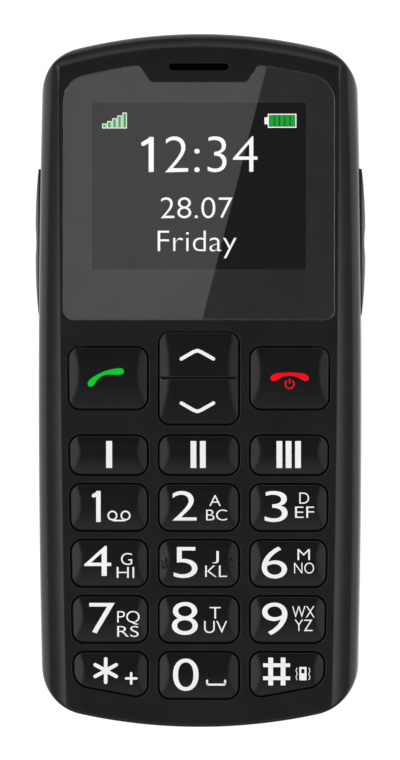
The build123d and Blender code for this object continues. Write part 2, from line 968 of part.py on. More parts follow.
shield_width = 28.0
shield_length = 13.0
shield_height = 1.6
shield_wall = 0.2
shield_corner = 0.6
shield_y = 21.6
chip_size = 8.0
chip_height = 1.0
with BuildPart() as shield_can:
    block(
        (0, shield_y),
        shield_width,
        shield_length,
        board_bottom_z - shield_height,
        board_bottom_z,
        corner=shield_corner,
    )
    block(
        (0, shield_y),
        shield_width - 2 * shield_wall,
        shield_length - 2 * shield_wall,
        board_bottom_z - shield_height + shield_wall,
        board_bottom_z,
        mode=Mode.SUBTRACT,
    )
save("shield_can", shield_can)

with BuildPart() as board_chips:
    for side in (-1, 1):
        block(
            (side * shield_width / 4, shield_y),
            chip_size,
            chip_size,
            board_bottom_z - chip_height,
            board_bottom_z,
        )
save("board_chips", board_chips)


# Sound: the earpiece at the ear end, the loudspeaker at the back, the microphone at the foot
earpiece_width = 10.0
earpiece_length = 5.2
earpiece_corner = 2.2
mesh_thickness = 0.15
mesh_margin = 0.7
earpiece_gasket_thickness = 0.2
mesh_bottom_z = ledge_bottom_z - mesh_thickness
earpiece_top_z = mesh_bottom_z - earpiece_gasket_thickness
with BuildPart() as earpiece_mesh:
    with BuildSketch(Plane.XY.offset(mesh_bottom_z)) as mesh_plan:
        with Locations((0, slot_y)):
            SlotOverall(slot_length + 2 * mesh_margin, slot_height + 2 * mesh_margin)
    extrude(mesh_plan.sketch, amount=mesh_thickness)
save("earpiece_mesh", earpiece_mesh)

with BuildPart() as earpiece_speaker:
    block(
        (0, slot_y),
        earpiece_width,
        earpiece_length,
        board_top_z,
        earpiece_top_z,
        corner=earpiece_corner,
    )
save("earpiece_speaker", earpiece_speaker)

with BuildPart() as earpiece_gasket:
    block(
        (0, slot_y),
        earpiece_width,
        earpiece_length,
        earpiece_top_z,
        mesh_bottom_z,
        corner=earpiece_corner,
    )
    with BuildSketch(Plane.XY.offset(earpiece_top_z)) as gasket_opening:
        with Locations((0, slot_y)):
            SlotOverall(earpiece_width - 2 * mesh_margin, slot_height + 2 * mesh_margin)
    extrude(gasket_opening.sketch, amount=earpiece_gasket_thickness, mode=Mode.SUBTRACT)
save("earpiece_gasket", earpiece_gasket)

with BuildPart() as loudspeaker:
    block(
        (0, loudspeaker_y),
        speaker_width,
        speaker_length,
        deck_top_z + speaker_gasket,
        deck_top_z + speaker_gasket + speaker_height,
        corner=speaker_corner,
    )
save("loudspeaker", loudspeaker)

with BuildPart() as loudspeaker_gasket:
    block(
        (0, loudspeaker_y),
        speaker_width,
        speaker_length,
        deck_top_z,
        deck_top_z + speaker_gasket,
        corner=speaker_corner,
    )
    block(
        (0, loudspeaker_y),
        grille_slot_length + 2 * speaker_gasket,
        grille_pitch * grille_slots,
        deck_top_z,
        deck_top_z + speaker_gasket,
        mode=Mode.SUBTRACT,
    )
save("loudspeaker_gasket", loudspeaker_gasket)

microphone_face_y = foot_wall_y + sagitta(foot_end_radius, 2 * (microphone_x + microphone_radius)) + hook_gap
with BuildPart() as microphone:
    with BuildSketch(Plane.XZ.offset(-microphone_face_y - boot_wall)) as capsule:
        with Locations((microphone_x, microphone_z)):
            Circle(microphone_radius - boot_wall)
    extrude(capsule.sketch, amount=-microphone_depth)
save("microphone", microphone)

with BuildPart() as microphone_boot:
    with BuildSketch(Plane.XZ.offset(-microphone_face_y)) as boot:
        with Locations((microphone_x, microphone_z)):
            Circle(microphone_radius)
    extrude(boot.sketch, amount=-microphone_depth)
    with BuildSketch(Plane.XZ.offset(-microphone_face_y)) as boot_hole:
        with Locations((microphone_x, microphone_z)):
            Circle(microphone_hole_radius)
    extrude(boot_hole.sketch, amount=-boot_wall, mode=Mode.SUBTRACT)
    add(microphone.part, mode=Mode.SUBTRACT)
save("microphone_boot", microphone_boot)


# Vibration motor and its off-centre weight
weight_radius = 2.1
weight_length = 3.4
weight_gap = 0.6
shaft_radius = 0.4
shaft_play = 0.04
shaft_depth = 1.5
weight_y = motor_y + motor_length / 2 + weight_gap
with BuildPart() as vibration_motor:
    with BuildSketch(Plane.XZ.offset(motor_length / 2 - motor_y)) as can:
        with Locations((motor_x, motor_z)):
            Circle(motor_radius)
    extrude(can.sketch, amount=-motor_length)
    with BuildSketch(Plane.XZ.offset(-(motor_y + motor_length / 2))) as bearing:
        with Locations((motor_x, motor_z)):
            Circle(shaft_radius + shaft_play)
    extrude(bearing.sketch, amount=shaft_depth, mode=Mode.SUBTRACT)
save("vibration_motor", vibration_motor)

with BuildPart() as motor_weight:
    with BuildSketch(Plane.XZ.offset(-weight_y)) as weight_section:
        with Locations((motor_x, motor_z)):
            Circle(weight_radius)
            Rectangle(
                2 * weight_radius,
                weight_radius,
                align=(Align.CENTER, Align.MIN),
                mode=Mode.SUBTRACT,
            )
            Circle(2 * shaft_radius)
    extrude(weight_section.sketch, amount=-weight_length)
    with BuildSketch(Plane.XZ.offset(-weight_y)) as shaft:
        with Locations((motor_x, motor_z)):
            Circle(shaft_radius)
    extrude(shaft.sketch, amount=weight_gap + shaft_depth - shaft_play)
save("motor_weight", motor_weight)


# Battery, its contacts and the card holders
battery_corner = 1.5
battery_edge = 0.4
with BuildPart() as battery:
    block(
        (0, battery_y),
        battery_width,
        battery_length,
        battery_bottom_z,
        battery_top_z,
        corner=battery_corner,
    )
    fillet(battery.faces().filter_by(Axis.Z).edges(), radius=battery_edge)
save("battery", battery)

spring_count = 3
spring_pitch = 2.4
spring_width = 0.9
spring_height = 2.2
spring_reach = 0.2
with BuildPart() as battery_contacts:
    block(
        (0, contact_y),
        contact_width,
        contact_depth,
        board_bottom_z - contact_height,
        board_bottom_z,
    )
    with BuildSketch(Plane.XY.offset(board_bottom_z - contact_height / 2 - spring_height / 2)) as springs:
        with Locations((0, battery_ear_y + bay_gap - spring_reach / 2)):
            with GridLocations(spring_pitch, 0, spring_count, 1):
                Rectangle(spring_width, spring_reach)
    extrude(springs.sketch, amount=spring_height)
save("battery_contacts", battery_contacts)

card_slot_height = 0.85
card_slot_wall = 0.2
for holder_name, width, length, y in (
    ("sim_holder", sim_width, sim_length, sim_y),
    ("memory_card_holder", memory_card_width, memory_card_length, memory_card_y),
):
    with BuildPart() as holder:
        block((0, y), width, length, board_bottom_z - holder_height, board_bottom_z)
        block(
            (0, y - card_slot_wall),
            width - 2 * card_slot_wall,
            length,
            board_bottom_z - holder_height + card_slot_wall,
            board_bottom_z - holder_height + card_slot_wall + card_slot_height,
            mode=Mode.SUBTRACT,
        )
    save(holder_name, holder)


# Charging socket: a folded shell round a contact tongue
tongue_plate_width = 3.7
tongue_plate_wall = 0.6
socket_front_y = foot_y + socket_recess
with BuildPart() as usb_socket:
    with BuildSketch(Plane.XZ.offset(-socket_front_y)) as shell_section:
        with Locations((0, socket_z)):
            RectangleRounded(socket_width, socket_height, socket_wall)
    extrude(shell_section.sketch, amount=-socket_depth)
    with BuildSketch(Plane.XZ.offset(-socket_front_y)) as shell_mouth:
        with Locations((0, socket_z)):
            Rectangle(socket_width - 2 * socket_wall, socket_height - 2 * socket_wall)
    extrude(shell_mouth.sketch, amount=socket_wall - socket_depth, mode=Mode.SUBTRACT)
    with BuildSketch(Plane.XZ.offset(-socket_front_y - socket_wall)) as contact_tongue:
        with Locations((0, socket_z + socket_wall)):
            Rectangle(tongue_plate_width, tongue_plate_wall)
    extrude(contact_tongue.sketch, amount=socket_wall - socket_depth)
save("usb_socket", usb_socket)


# Antenna: a stamped sheet on a plastic carrier, with a leg up to the board
sheet_thickness = 0.2
sheet_margin = 1.0
sheet_slot_margin = 2.0
leg_width = 1.5
leg_share = 0.35
with BuildPart() as antenna_carrier:
    block(
        (0, carrier_y),
        carrier_width,
        carrier_length,
        deck_top_z,
        deck_top_z + carrier_height,
        corner=carrier_corner,
    )
save("antenna_carrier", antenna_carrier)

with BuildPart() as antenna:
    sheet_low = deck_top_z + carrier_height
    block(
        (0, carrier_y),
        carrier_width - 2 * sheet_margin,
        carrier_length - 2 * sheet_margin,
        sheet_low,
        sheet_low + sheet_thickness,
    )
    block(
        (0, carrier_y + sheet_margin / 2),
        carrier_width - 2 * sheet_margin - 2 * sheet_slot_margin,
        sheet_margin,
        sheet_low,
        sheet_low + sheet_thickness,
        mode=Mode.SUBTRACT,
    )
    block(
        (-leg_share * carrier_width, carrier_y + carrier_length / 2 - sheet_margin - sheet_thickness / 2),
        leg_width,
        sheet_thickness,
        sheet_low,
        board_bottom_z,
    )
save("antenna", antenna)


# Side keys: a rocker on each side, with a flange inside the wall that presses two switches
side_key_bottom_z = side_key_top_z - side_key_height


def side_key(side):
    """The rocker: two raised pads with a dip between them, and its flange."""
    inner = side_flange_x + side_flange_wall
    half = side_key_length / 2
    dip = side_key_dip_length / 2
    with BuildPart() as key:
        with BuildSketch(Plane.XY.offset(side_key_bottom_z)) as section:
            with BuildLine():
                Line((side * inner, side_key_y - half), (side * side_key_end_x, side_key_y - half))
                ThreePointArc(
                    (side * side_key_end_x, side_key_y - half),
                    (side * (side_key_proud_x - side_key_dip), side_key_y - (half + dip) / 2),
                    (side * side_key_proud_x, side_key_y - dip),
                )
                ThreePointArc(
                    (side * side_key_proud_x, side_key_y - dip),
                    (side * (side_key_proud_x - side_key_dip), side_key_y),
                    (side * side_key_proud_x, side_key_y + dip),
                )
                ThreePointArc(
                    (side * side_key_proud_x, side_key_y + dip),
                    (side * (side_key_proud_x - side_key_dip), side_key_y + (half + dip) / 2),
                    (side * side_key_end_x, side_key_y + half),
                )
                Line((side * side_key_end_x, side_key_y + half), (side * inner, side_key_y + half))
                Line((side * inner, side_key_y + half), (side * inner, side_key_y - half))
            make_face()
        extrude(section.sketch, amount=side_key_height)
        with BuildSketch(Plane.XZ.offset(-(side_key_y + half + overrun))) as barrel:
            with BuildLine():
                ThreePointArc(
                    (side * side_key_end_x, side_key_bottom_z),
                    (side * side_key_proud_x, side_key_top_z - side_key_height / 2),
                    (side * side_key_end_x, side_key_top_z),
                )
                Polyline(
                    (side * side_key_end_x, side_key_top_z),
                    (side * inner, side_key_top_z),
                    (side * inner, side_key_bottom_z),
                    (side * side_key_end_x, side_key_bottom_z),
                )
            make_face()
        extrude(barrel.sketch, amount=side_key_length + 2 * overrun, mode=Mode.INTERSECT)
        block(
            (side * (side_flange_x + side_flange_wall / 2), side_key_y),
            side_flange_wall,
            side_key_length + 2 * side_flange_margin,
            side_key_bottom_z,
            side_key_top_z,
        )
    return key


save("left_side_key", side_key(-1))
save("right_side_key", side_key(1))

with BuildPart() as side_switches:
    for side in (-1, 1):
        for end in (-1, 1):
            y = side_key_y + end * switch_offset
            block(
                (side * (switch_face_x - switch_button - switch_depth / 2), y),
                switch_depth,
                switch_width,
                board_bottom_z - switch_height,
                board_bottom_z,
            )
            block(
                (side * (switch_face_x - switch_button / 2), y),
                switch_button,
                switch_width * switch_button_share,
                side_key_bottom_z + switch_button,
                side_key_top_z - switch_button,
            )
save("side_switches", side_switches)


# Fasteners
recess_radius = 0.7
recess_width = 0.5
recess_depth = 0.5
with BuildPart() as threaded_inserts:
    post(screw_places, insert_radius, board_top_z, board_top_z + insert_length)
    post(screw_places, screw_radius, board_top_z, board_top_z + insert_length, mode=Mode.SUBTRACT)
save("threaded_inserts", threaded_inserts)

with BuildPart() as housing_screws:
    post(screw_places, screw_head_radius, screw_seat_z - screw_head_height, screw_seat_z)
    post(screw_places, screw_radius, screw_seat_z, screw_seat_z + screw_length)
    for turn in (0, 90):
        with BuildSketch(Plane.XY.offset(screw_seat_z - screw_head_height)) as cross:
            with Locations(*screw_places):
                Rectangle(2 * recess_radius, recess_width, rotation=turn)
        extrude(cross.sketch, amount=recess_depth, mode=Mode.SUBTRACT)
save("housing_screws", housing_screws)
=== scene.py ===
# %% [markdown]
# # A feature phone, dressed for its portrait
# The phone was built as solids first, and they are loaded here as a fixed frame. Each visible piece then
# gets a finer surface or a better material. Sizes are written in millimetres and scaled to metres.

# %% Load the frame
import json
import math
import bmesh
import bpy
import numpy as np
from mathutils import Matrix, Vector
from mathutils.geometry import delaunay_2d_cdt


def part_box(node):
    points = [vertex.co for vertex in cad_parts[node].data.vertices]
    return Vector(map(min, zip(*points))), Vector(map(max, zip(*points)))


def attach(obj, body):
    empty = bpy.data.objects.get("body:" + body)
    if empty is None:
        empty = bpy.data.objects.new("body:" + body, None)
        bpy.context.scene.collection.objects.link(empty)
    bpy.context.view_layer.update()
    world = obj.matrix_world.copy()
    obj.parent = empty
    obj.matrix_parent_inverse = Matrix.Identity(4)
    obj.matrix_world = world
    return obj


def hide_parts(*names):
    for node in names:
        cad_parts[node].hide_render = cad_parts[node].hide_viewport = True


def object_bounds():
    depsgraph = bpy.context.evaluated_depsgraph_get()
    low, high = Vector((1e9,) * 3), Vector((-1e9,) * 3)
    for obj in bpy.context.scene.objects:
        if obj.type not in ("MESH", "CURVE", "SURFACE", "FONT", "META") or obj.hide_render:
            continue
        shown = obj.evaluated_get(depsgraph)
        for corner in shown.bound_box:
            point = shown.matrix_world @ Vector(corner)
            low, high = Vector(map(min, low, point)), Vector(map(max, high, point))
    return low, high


scene = bpy.context.scene
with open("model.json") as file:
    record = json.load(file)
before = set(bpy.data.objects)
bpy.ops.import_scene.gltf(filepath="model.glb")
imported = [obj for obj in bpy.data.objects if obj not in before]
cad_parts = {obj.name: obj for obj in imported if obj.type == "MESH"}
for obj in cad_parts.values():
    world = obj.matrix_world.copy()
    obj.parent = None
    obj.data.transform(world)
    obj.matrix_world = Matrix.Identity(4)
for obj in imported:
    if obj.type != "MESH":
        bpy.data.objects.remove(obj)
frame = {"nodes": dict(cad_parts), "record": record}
cad_bounds = [list(map(float, corner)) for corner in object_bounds()]
print("pieces in the frame:", len(frame["nodes"]))

# %% [markdown]
# ## Sizes
# These are the sizes of the moulded front, in millimetres. They repeat the solids' own sizes, so the fine
# surfaces lie where the solids lie.

# %% Sizes
MM = 0.001
case_length, case_width, widest_y = 118.0, 55.0, -1.6
side_radius, ear_end_radius, foot_end_radius = 2015.0, 88.0, 95.0
ear_corner, foot_corner = 8.0, 8.6
front_z, parting_z, under_z, recess_z = 13.6, 8.2, 11.85, 12.45
side_wall, skin_wall = 1.3, 1.25
ear_centre_y = case_length / 2 - ear_end_radius
key_gap, key_proud, key_crown, key_foot_z = 0.25, 0.55, 0.35, 11.95
middle_width, column_gap, side_margin, key_corner = 13.76, 1.76, 1.25, 2.0
screen_y, screen_width, screen_height = 33.05, 36.46, 28.36


def side_x(y):
    """Half the case's width: a very shallow arc, widest a little below the middle."""
    return case_width / 2 - (side_radius - np.sqrt(side_radius**2 - (y - widest_y) ** 2))


def crease_x(y):
    """Half the spacing of the two creases, which draw together towards the foot."""
    share = 2 * y / case_length
    return 23.5 + 0.74 * share - 0.31 * share**2


# %% [markdown]
# ## From formulas to a mesh
# A surface is worked out as whole arrays of points. Sheets that share an edge go into one mesh, and the
# doubled points of the seam are merged, which closes it and lets the shading run smoothly over it, except
# where the turn is sharp.

# %% Mesh helpers
def add_object(name, data):
    """Puts a new object into the scene, at the origin and unrotated."""
    item = bpy.data.objects.new(name, data)
    scene.collection.objects.link(item)
    return item


def make_piece(name, sheets, body, material, sharp=38.0, stands_for=()):
    """Joins sheets of (points in mm, faces) into one closed mesh with its faces outwards."""
    points, faces, start = [], [], 0
    for sheet_points, sheet_faces in sheets:
        points.append(np.clip(np.asarray(sheet_points, float) * MM, *cad_bounds))
        faces += (np.asarray(sheet_faces) + start).tolist()
        start += len(sheet_points)
    mesh = bpy.data.meshes.new(name)
    mesh.from_pydata(np.concatenate(points).tolist(), [], faces)
    shell = bmesh.new()
    shell.from_mesh(mesh)
    bmesh.ops.remove_doubles(shell, verts=shell.verts, dist=1.5e-6)
    bmesh.ops.dissolve_degenerate(shell, edges=shell.edges, dist=1e-8)
    bmesh.ops.recalc_face_normals(shell, faces=shell.faces)
    open_edges = sum(not edge.is_manifold for edge in shell.edges)
    shell.to_mesh(mesh)
    shell.free()
    return finish_piece(name, mesh, body, material, sharp, stands_for, open_edges)


def finish_piece(name, mesh, body, material, sharp, stands_for, open_edges=0):
    """Shades a mesh smooth up to a sharp turn, gives it its material and seats it on its body."""
    mesh.shade_smooth()
    mesh.set_sharp_from_angle(angle=math.radians(sharp))
    mesh.materials.clear()
    mesh.materials.append(material)
    piece = add_object(name, mesh)
    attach(piece, body)
    if stands_for:
        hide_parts(*stands_for)
    print(name, len(mesh.polygons), "faces", f"open {open_edges}" if open_edges else "closed")
    return piece


def sweep(plan, height):
    """A surface on a grid: plan[k, i] is point i of ring k, and height its z. Each ring closes on itself."""
    rows, columns = plan.shape[:2]
    height = np.broadcast_to(height, (rows, columns))
    points = np.concatenate([plan, height[..., None]], axis=2).reshape(-1, 3)
    k, i = np.meshgrid(np.arange(rows - 1), np.arange(columns), indexing="ij")
    after, row = (i + 1) % columns, k * columns
    faces = np.stack([row + i, row + after, row + columns + after, row + columns + i], -1)
    return points, faces.reshape(-1, 4)


def rings(loop, offsets):
    """Parallel curves of an outline (points, outward directions), one for each offset."""
    points, outward = loop
    return points[None] + np.asarray(offsets, float)[:, None, None] * outward[None]


def inside(points, ring):
    """Even-odd test of many points against one ring, as whole arrays."""
    x, y = points[:, 0, None], points[:, 1, None]
    a, b = ring, np.roll(ring, -1, axis=0)
    rise = np.where(b[:, 1] == a[:, 1], 1.0, b[:, 1] - a[:, 1])
    crosses = (a[:, 1] > y) != (b[:, 1] > y)
    return (crosses & (x < a[:, 0] + (y - a[:, 1]) * (b[:, 0] - a[:, 0]) / rise)).sum(1) % 2 == 1


def fill(outer, holes, height, step=0.0, extra_y=()):
    """Triangles between an outer ring and its holes. A grid of points follows a curved height."""
    loops = [outer] + list(holes)
    points = np.concatenate(loops)
    edges, start = [], 0
    for ring in loops:
        index = np.arange(len(ring))
        edges += np.stack([start + index, start + (index + 1) % len(ring)], 1).tolist()
        start += len(ring)
    if step:
        low, high = outer.min(0), outer.max(0)
        y_lines = np.concatenate([np.arange(low[1] + step / 2, high[1], step), extra_y])
        x, y = np.meshgrid(np.arange(low[0] + step / 2, high[0], step), np.unique(np.round(y_lines, 4)))
        grid = np.stack([x.ravel(), y.ravel()], 1)
        grid = grid[inside(grid, outer)]
        near = np.hypot(*(grid[:, None] - points[None]).transpose(2, 0, 1)).min(1)
        points = np.concatenate([points, grid[near > 0.45 * step]])
    found, _, faces, *_ = delaunay_2d_cdt(points.tolist(), edges, [], 0, 1e-7)
    found, faces = np.array(found, float), np.array(faces)
    middle = found[faces].mean(1)
    ends = np.cumsum([len(ring) for ring in loops])
    keep = inside(middle, found[: ends[0]])
    for first, last in zip(ends[:-1], ends[1:]):
        keep &= ~inside(middle, found[first:last])
    z = np.broadcast_to(height(found[:, 0], found[:, 1]) if callable(height) else height, len(found))
    return np.column_stack([found, z]), faces[keep]


def smooth_min(a, b, soft):
    """The lower of two heights, with the crease between them rounded over a height of soft."""
    blend = np.maximum(soft - np.abs(a - b), 0) / soft
    return np.minimum(a, b) - blend**2 * soft / 4


def quarter(radius, steps=6):
    """A quarter round from a flat (inset radius, drop 0) to a wall (inset 0, drop radius)."""
    turn = np.linspace(0, math.pi / 2, steps)
    return radius * (1 - np.sin(turn)), radius * (1 - np.cos(turn))


# %% [markdown]
# ## Outlines
# Every plan of this phone is lines and arcs with rounded corners. The middle of a corner's rounding is as
# far from one edge as from the other, so a few Newton steps find it for any pair of edges. A negative radius
# rounds an inner corner. The outline keeps its outward direction at every point, so a parallel curve is one
# sum.

# %% Outlines
def reach(edge, q):
    """Distance of q inside an edge (point, direction) or (centre, radius), and the inward direction."""
    start, kind = np.asarray(edge[0], float), edge[1]
    if np.ndim(kind) == 0:
        away = start - q
        gap = np.hypot(*away)
        return kind - gap, away / gap
    inward = np.array([-kind[1], kind[0]]) / np.hypot(*kind)
    return inward @ (q - start), inward


def arc_points(centre, first, last, radius, step, turn_sign):
    """Points round a centre from one point to another, turning left for a positive sign."""
    a = math.atan2(*(first - centre)[::-1])
    b = math.atan2(*(last - centre)[::-1])
    turn = (b - a) % (2 * math.pi) if turn_sign > 0 else -((a - b) % (2 * math.pi))
    count = max(int(abs(turn) * radius / step), 2)
    angle = a + turn * np.linspace(0, 1, count + 1)
    ray = np.stack([np.cos(angle), np.sin(angle)], 1)
    return centre + radius * ray, ray


def outline(edges, corners, near, step=0.3, corner_step=0.2):
    """A closed outline, anticlockwise. corners[k] rounds the corner, near near[k], after edge k."""
    turns = []
    for k, radius in enumerate(corners):
        q = np.array(near[k], float)
        pair = edges[k], edges[(k + 1) % len(edges)]
        for _ in range(40):
            found = [reach(edge, q) for edge in pair]
            gaps = [radius - distance for distance, _ in found]
            q = q + np.linalg.solve(np.array([inward for _, inward in found]), gaps)
        first, last = (q - radius * reach(edge, q)[1] for edge in pair)
        turns.append((q, first, last))
    points, outward = [], []
    for k, (q, first, last) in enumerate(turns):
        sign = 1 if corners[k] > 0 else -1
        bend, ray = arc_points(q, first, last, abs(corners[k]), corner_step, sign)
        points.append(bend)
        outward.append(sign * ray)
        edge = edges[(k + 1) % len(edges)]
        end = turns[(k + 1) % len(turns)][1]
        if np.ndim(edge[1]) == 0:
            run, ray = arc_points(np.asarray(edge[0], float), last, end, edge[1], step, 1)
        else:
            count = max(int(np.hypot(*(end - last)) / step), 2)
            run = last + (end - last) * np.linspace(0, 1, count + 1)[:, None]
            ray = np.broadcast_to(-reach(edge, last)[1], run.shape)
        points.append(run[1:-1])
        outward.append(ray[1:-1])
    return np.concatenate(points), np.concatenate(outward)


def polygon(corners_xy, radii, step=0.3):
    """A rounded polygon, anticlockwise; radii[k] rounds corner k."""
    corner = np.array(corners_xy, float)
    count = len(corner)
    edges = [(corner[k - 1], corner[k] - corner[k - 1]) for k in range(count)]
    return outline(edges, radii, corner, step)


def moved(loop, amount):
    """The same outline, moved outwards by an amount."""
    return loop[0] + amount * loop[1], loop[1]


half_side = case_width / 2 - side_radius
case_loop = outline(
    [
        ((half_side, widest_y), side_radius),
        ((0, ear_centre_y), ear_end_radius),
        ((-half_side, widest_y), side_radius),
        ((0, foot_end_radius - case_length / 2), foot_end_radius),
    ],
    [ear_corner, ear_corner, foot_corner, foot_corner],
    [(24, 53), (-24, 53), (-24, -54), (24, -54)],
    step=0.5,
    corner_step=0.4,
)
print("case outline:", len(case_loop[0]), "points, spans", np.ptp(case_loop[0], axis=0).round(2))

# %% [markdown]
# ## Keys in plan
# Six rows of three. The side keys keep a steady margin to the crease, so their outer edges lean with it, and
# the foot edges of the two lowest corner keys slope up, following the end of the phone.

# %% Key outlines
first_row_top, call_key_height = 8.24, 10.71
row_heights = (15.8, 6.8, 8.05, 8.05, 8.05, 8.05)
row_gaps = (1.79, 1.47, 1.47, 1.47, 1.47, 0)
foot_slope, foot_key_corner = math.tan(math.radians(10.6)), 2.9


def key_outlines():
    """Name of each key with its body-size outline, top and bottom."""
    names = [
        ("call_key", "navigation_key", "end_key"),
        ("memory_key_1", "memory_key_2", "memory_key_3"),
        ("key_1", "key_2", "key_3"),
        ("key_4", "key_5", "key_6"),
        ("key_7", "key_8", "key_9"),
        ("star_key", "key_0", "hash_key"),
    ]
    table, top = {}, first_row_top
    inner = middle_width / 2 + column_gap
    for row, row_names in enumerate(names):
        bottom = top - row_heights[row]
        for column, name in zip((-1, 0, 1), row_names):
            high, low = top, bottom
            if row == 0 and column:
                high = top - (row_heights[0] - call_key_height) / 2
                low = top - (row_heights[0] + call_key_height) / 2
            if column:
                slope = foot_slope if row == 5 else 0
                top_x, foot_x = crease_x(high) - side_margin, crease_x(low) - side_margin
                lean = (foot_x - inner) * slope
                corners = [(inner, low), (foot_x, low + lean), (top_x, high), (inner, high)]
                radii = [key_corner, foot_key_corner if row == 5 else key_corner, key_corner, key_corner]
                if column < 0:
                    corners = [(-x, y) for x, y in corners[::-1]]
                    radii = radii[::-1]
            else:
                half = middle_width / 2
                corners = [(-half, low), (half, low), (half, high), (-half, high)]
                radii = [key_corner] * 4
            table[name] = (polygon(corners, radii, step=0.25), high, low)
        top = bottom - row_gaps[row]
    return table


key_table = key_outlines()
print("keys:", len(key_table))

# %% [markdown]
# ## Window outline
# The window's ear edge follows the end of the phone, and a tongue of the cover comes down into it round the
# earpiece slot.

# %% Window, slot and screen outlines
window_half, window_foot = 46.3 / 2, 10.2
window_arc = ear_end_radius - 4.75
notch_foot, notch_half, notch_lean, shoulder_x = 50.76, 16.3 / 2, 0.7006, 10.5
shoulder_y = ear_centre_y + math.sqrt(window_arc**2 - shoulder_x**2)
window_loop = outline(
    [
        ((window_half, 0), (0, 1)),
        ((0, ear_centre_y), window_arc),
        ((notch_half, notch_foot), (-notch_lean, -1)),
        ((0, notch_foot), (-1, 0)),
        ((-notch_half, notch_foot), (-notch_lean, 1)),
        ((0, ear_centre_y), window_arc),
        ((-window_half, 0), (0, -1)),
        ((0, window_foot), (1, 0)),
    ],
    [4.6, 0.7, -0.7, -0.7, 0.7, 4.6, 1.8, 1.8],
    [
        (window_half, 50),
        (shoulder_x, shoulder_y),
        (notch_half, notch_foot),
        (-notch_half, notch_foot),
        (-shoulder_x, shoulder_y),
        (-window_half, 50),
        (-window_half, window_foot),
        (window_half, window_foot),
    ],
)


def box_loop(x, y, width, height, radius, step=0.5):
    """A rounded rectangle round a middle point."""
    left, right, low, high = x - width / 2, x + width / 2, y - height / 2, y + height / 2
    return polygon([(left, low), (right, low), (right, high), (left, high)], [radius] * 4, step)


slot_loop = box_loop(0, 53.3, 10.2, 1.2, 0.59)
screen_loop = box_loop(0, screen_y, screen_width, screen_height, 0.3)
print("window spans", np.ptp(window_loop[0], axis=0).round(2))


# %% [markdown]
# ## Materials
# Every material starts from the same recipe: a colour that isn't quite even, a roughness that wanders, and
# a fine grain. All three come from noise in object coordinates, so nothing stretches. The grain has its real
# size: a spark-eroded mould leaves pits of a few hundredths of a millimetre.

# %% Material helpers
MICRON = 1e-6
CLOUD_SIZE, CLOUD_RANGE, COAT_ROUGHNESS = 6, (0.3, 0.7), 0.08


def set_node(tree, node, settings):
    """Gives a node its settings: a property, an input's value, or the output that feeds an input."""
    for key, value in settings.items():
        if isinstance(value, bpy.types.NodeSocket):
            tree.links.new(value, node.inputs[key])
        elif isinstance(key, int) or key in node.inputs:
            node.inputs[key].default_value = value
        else:
            setattr(node, key, value)
    return node


def add_node(tree, kind, settings):
    """Adds a shader node with its settings."""
    return set_node(tree, tree.nodes.new("ShaderNode" + kind), settings)


def set_shader(material, settings):
    """Gives a material's own shader its settings."""
    set_node(material.node_tree, material.node_tree.nodes["Principled BSDF"], settings)


def add_ramp(tree, source, stops):
    """A colour ramp fed by an output. A stop is (position, colour), and one number is a grey."""
    node = add_node(tree, "ValToRGB", {"Fac": source})
    elements = node.color_ramp.elements
    while len(elements) < len(stops):
        elements.new(0.5)
    for element, (position, color) in zip(elements, stops):
        element.position = position
        element.color = (*np.ones(3) * color, 1)
    return node.outputs["Color"]


def finish(
    name, color, rough, grain=0.06, relief=0.8, mottle=0.1, wander=0.05, specular=0.5, metal=0, coat=0
):
    """A procedural finish. grain is the pits' size in mm and relief their depth in micrometres."""
    material = bpy.data.materials.new(name)
    material.use_nodes = True
    tree = material.node_tree
    place = add_node(tree, "TexCoord", {}).outputs["Object"]
    noise = add_node(tree, "TexNoise", {"Vector": place, "Scale": 1 / (CLOUD_SIZE * MM), "Detail": 3})
    cloud = noise.outputs["Fac"]
    low, high = CLOUD_RANGE
    color = np.ones(3) * color
    stops = [(low, color * (1 - mottle)), (high, np.minimum(color * (1 + mottle), 1))]
    spread = add_node(tree, "MapRange", {
        "Value": cloud, "From Min": low, "From Max": high,
        "To Min": max(rough - wander, 0), "To Max": min(rough + wander, 1),
    })
    pits = add_node(tree, "TexNoise", {"Vector": place, "Scale": 1 / (grain * MM), "Detail": 2})
    bump = add_node(tree, "Bump", {"Height": pits.outputs["Fac"], "Distance": relief * MICRON})
    set_shader(material, {
        "Metallic": metal, "Specular IOR Level": specular, "Base Color": add_ramp(tree, cloud, stops),
        "Coat Weight": coat, "Coat Roughness": COAT_ROUGHNESS,
        "Roughness": spread.outputs["Result"], "Normal": bump.outputs["Normal"],
    })
    return material


# %% [markdown]
# ## The plastics
# The housing is satin black, moulded against a fine grain. The keys come out of a polished mould, so they
# are glossier. The back is a little coarser, for grip.

# %% Plastics
# Columns: name, colour, roughness, grain, relief, mottle, wander, specular
satin_black = finish("satin_black_plastic", (0.0088, 0.0088, 0.0094), 0.2, 0.09, 0.4, 0.05, 0.02, 0.38)
rear_black = finish("rear_black_plastic", (0.015, 0.015, 0.016), 0.3, 0.1, 1.0, 0.04, 0.02, 0.42)
grip_black = finish("grip_black_plastic", (0.018, 0.018, 0.019), 0.48, 0.16, 4.0, 0.03, 0.02, 0.42)
key_black = finish("polished_black_keys", (0.0068, 0.0068, 0.0074), 0.16, 0.12, 0.3, 0.05, 0.02, 0.3)
side_black = finish("side_key_black", (0.014, 0.014, 0.015), 0.27, 0.09, 0.6, 0.04, 0.02)
print("plastics made")

# %% [markdown]
# ## Finishes of the inner pieces
# With the battery cover off, the bay shows the battery, the card holders and the contacts, and a look past
# the keys shows the mat. Each has the finish that its process leaves: rolled and plated steel, woven mesh,
# foam, film and solder mask.

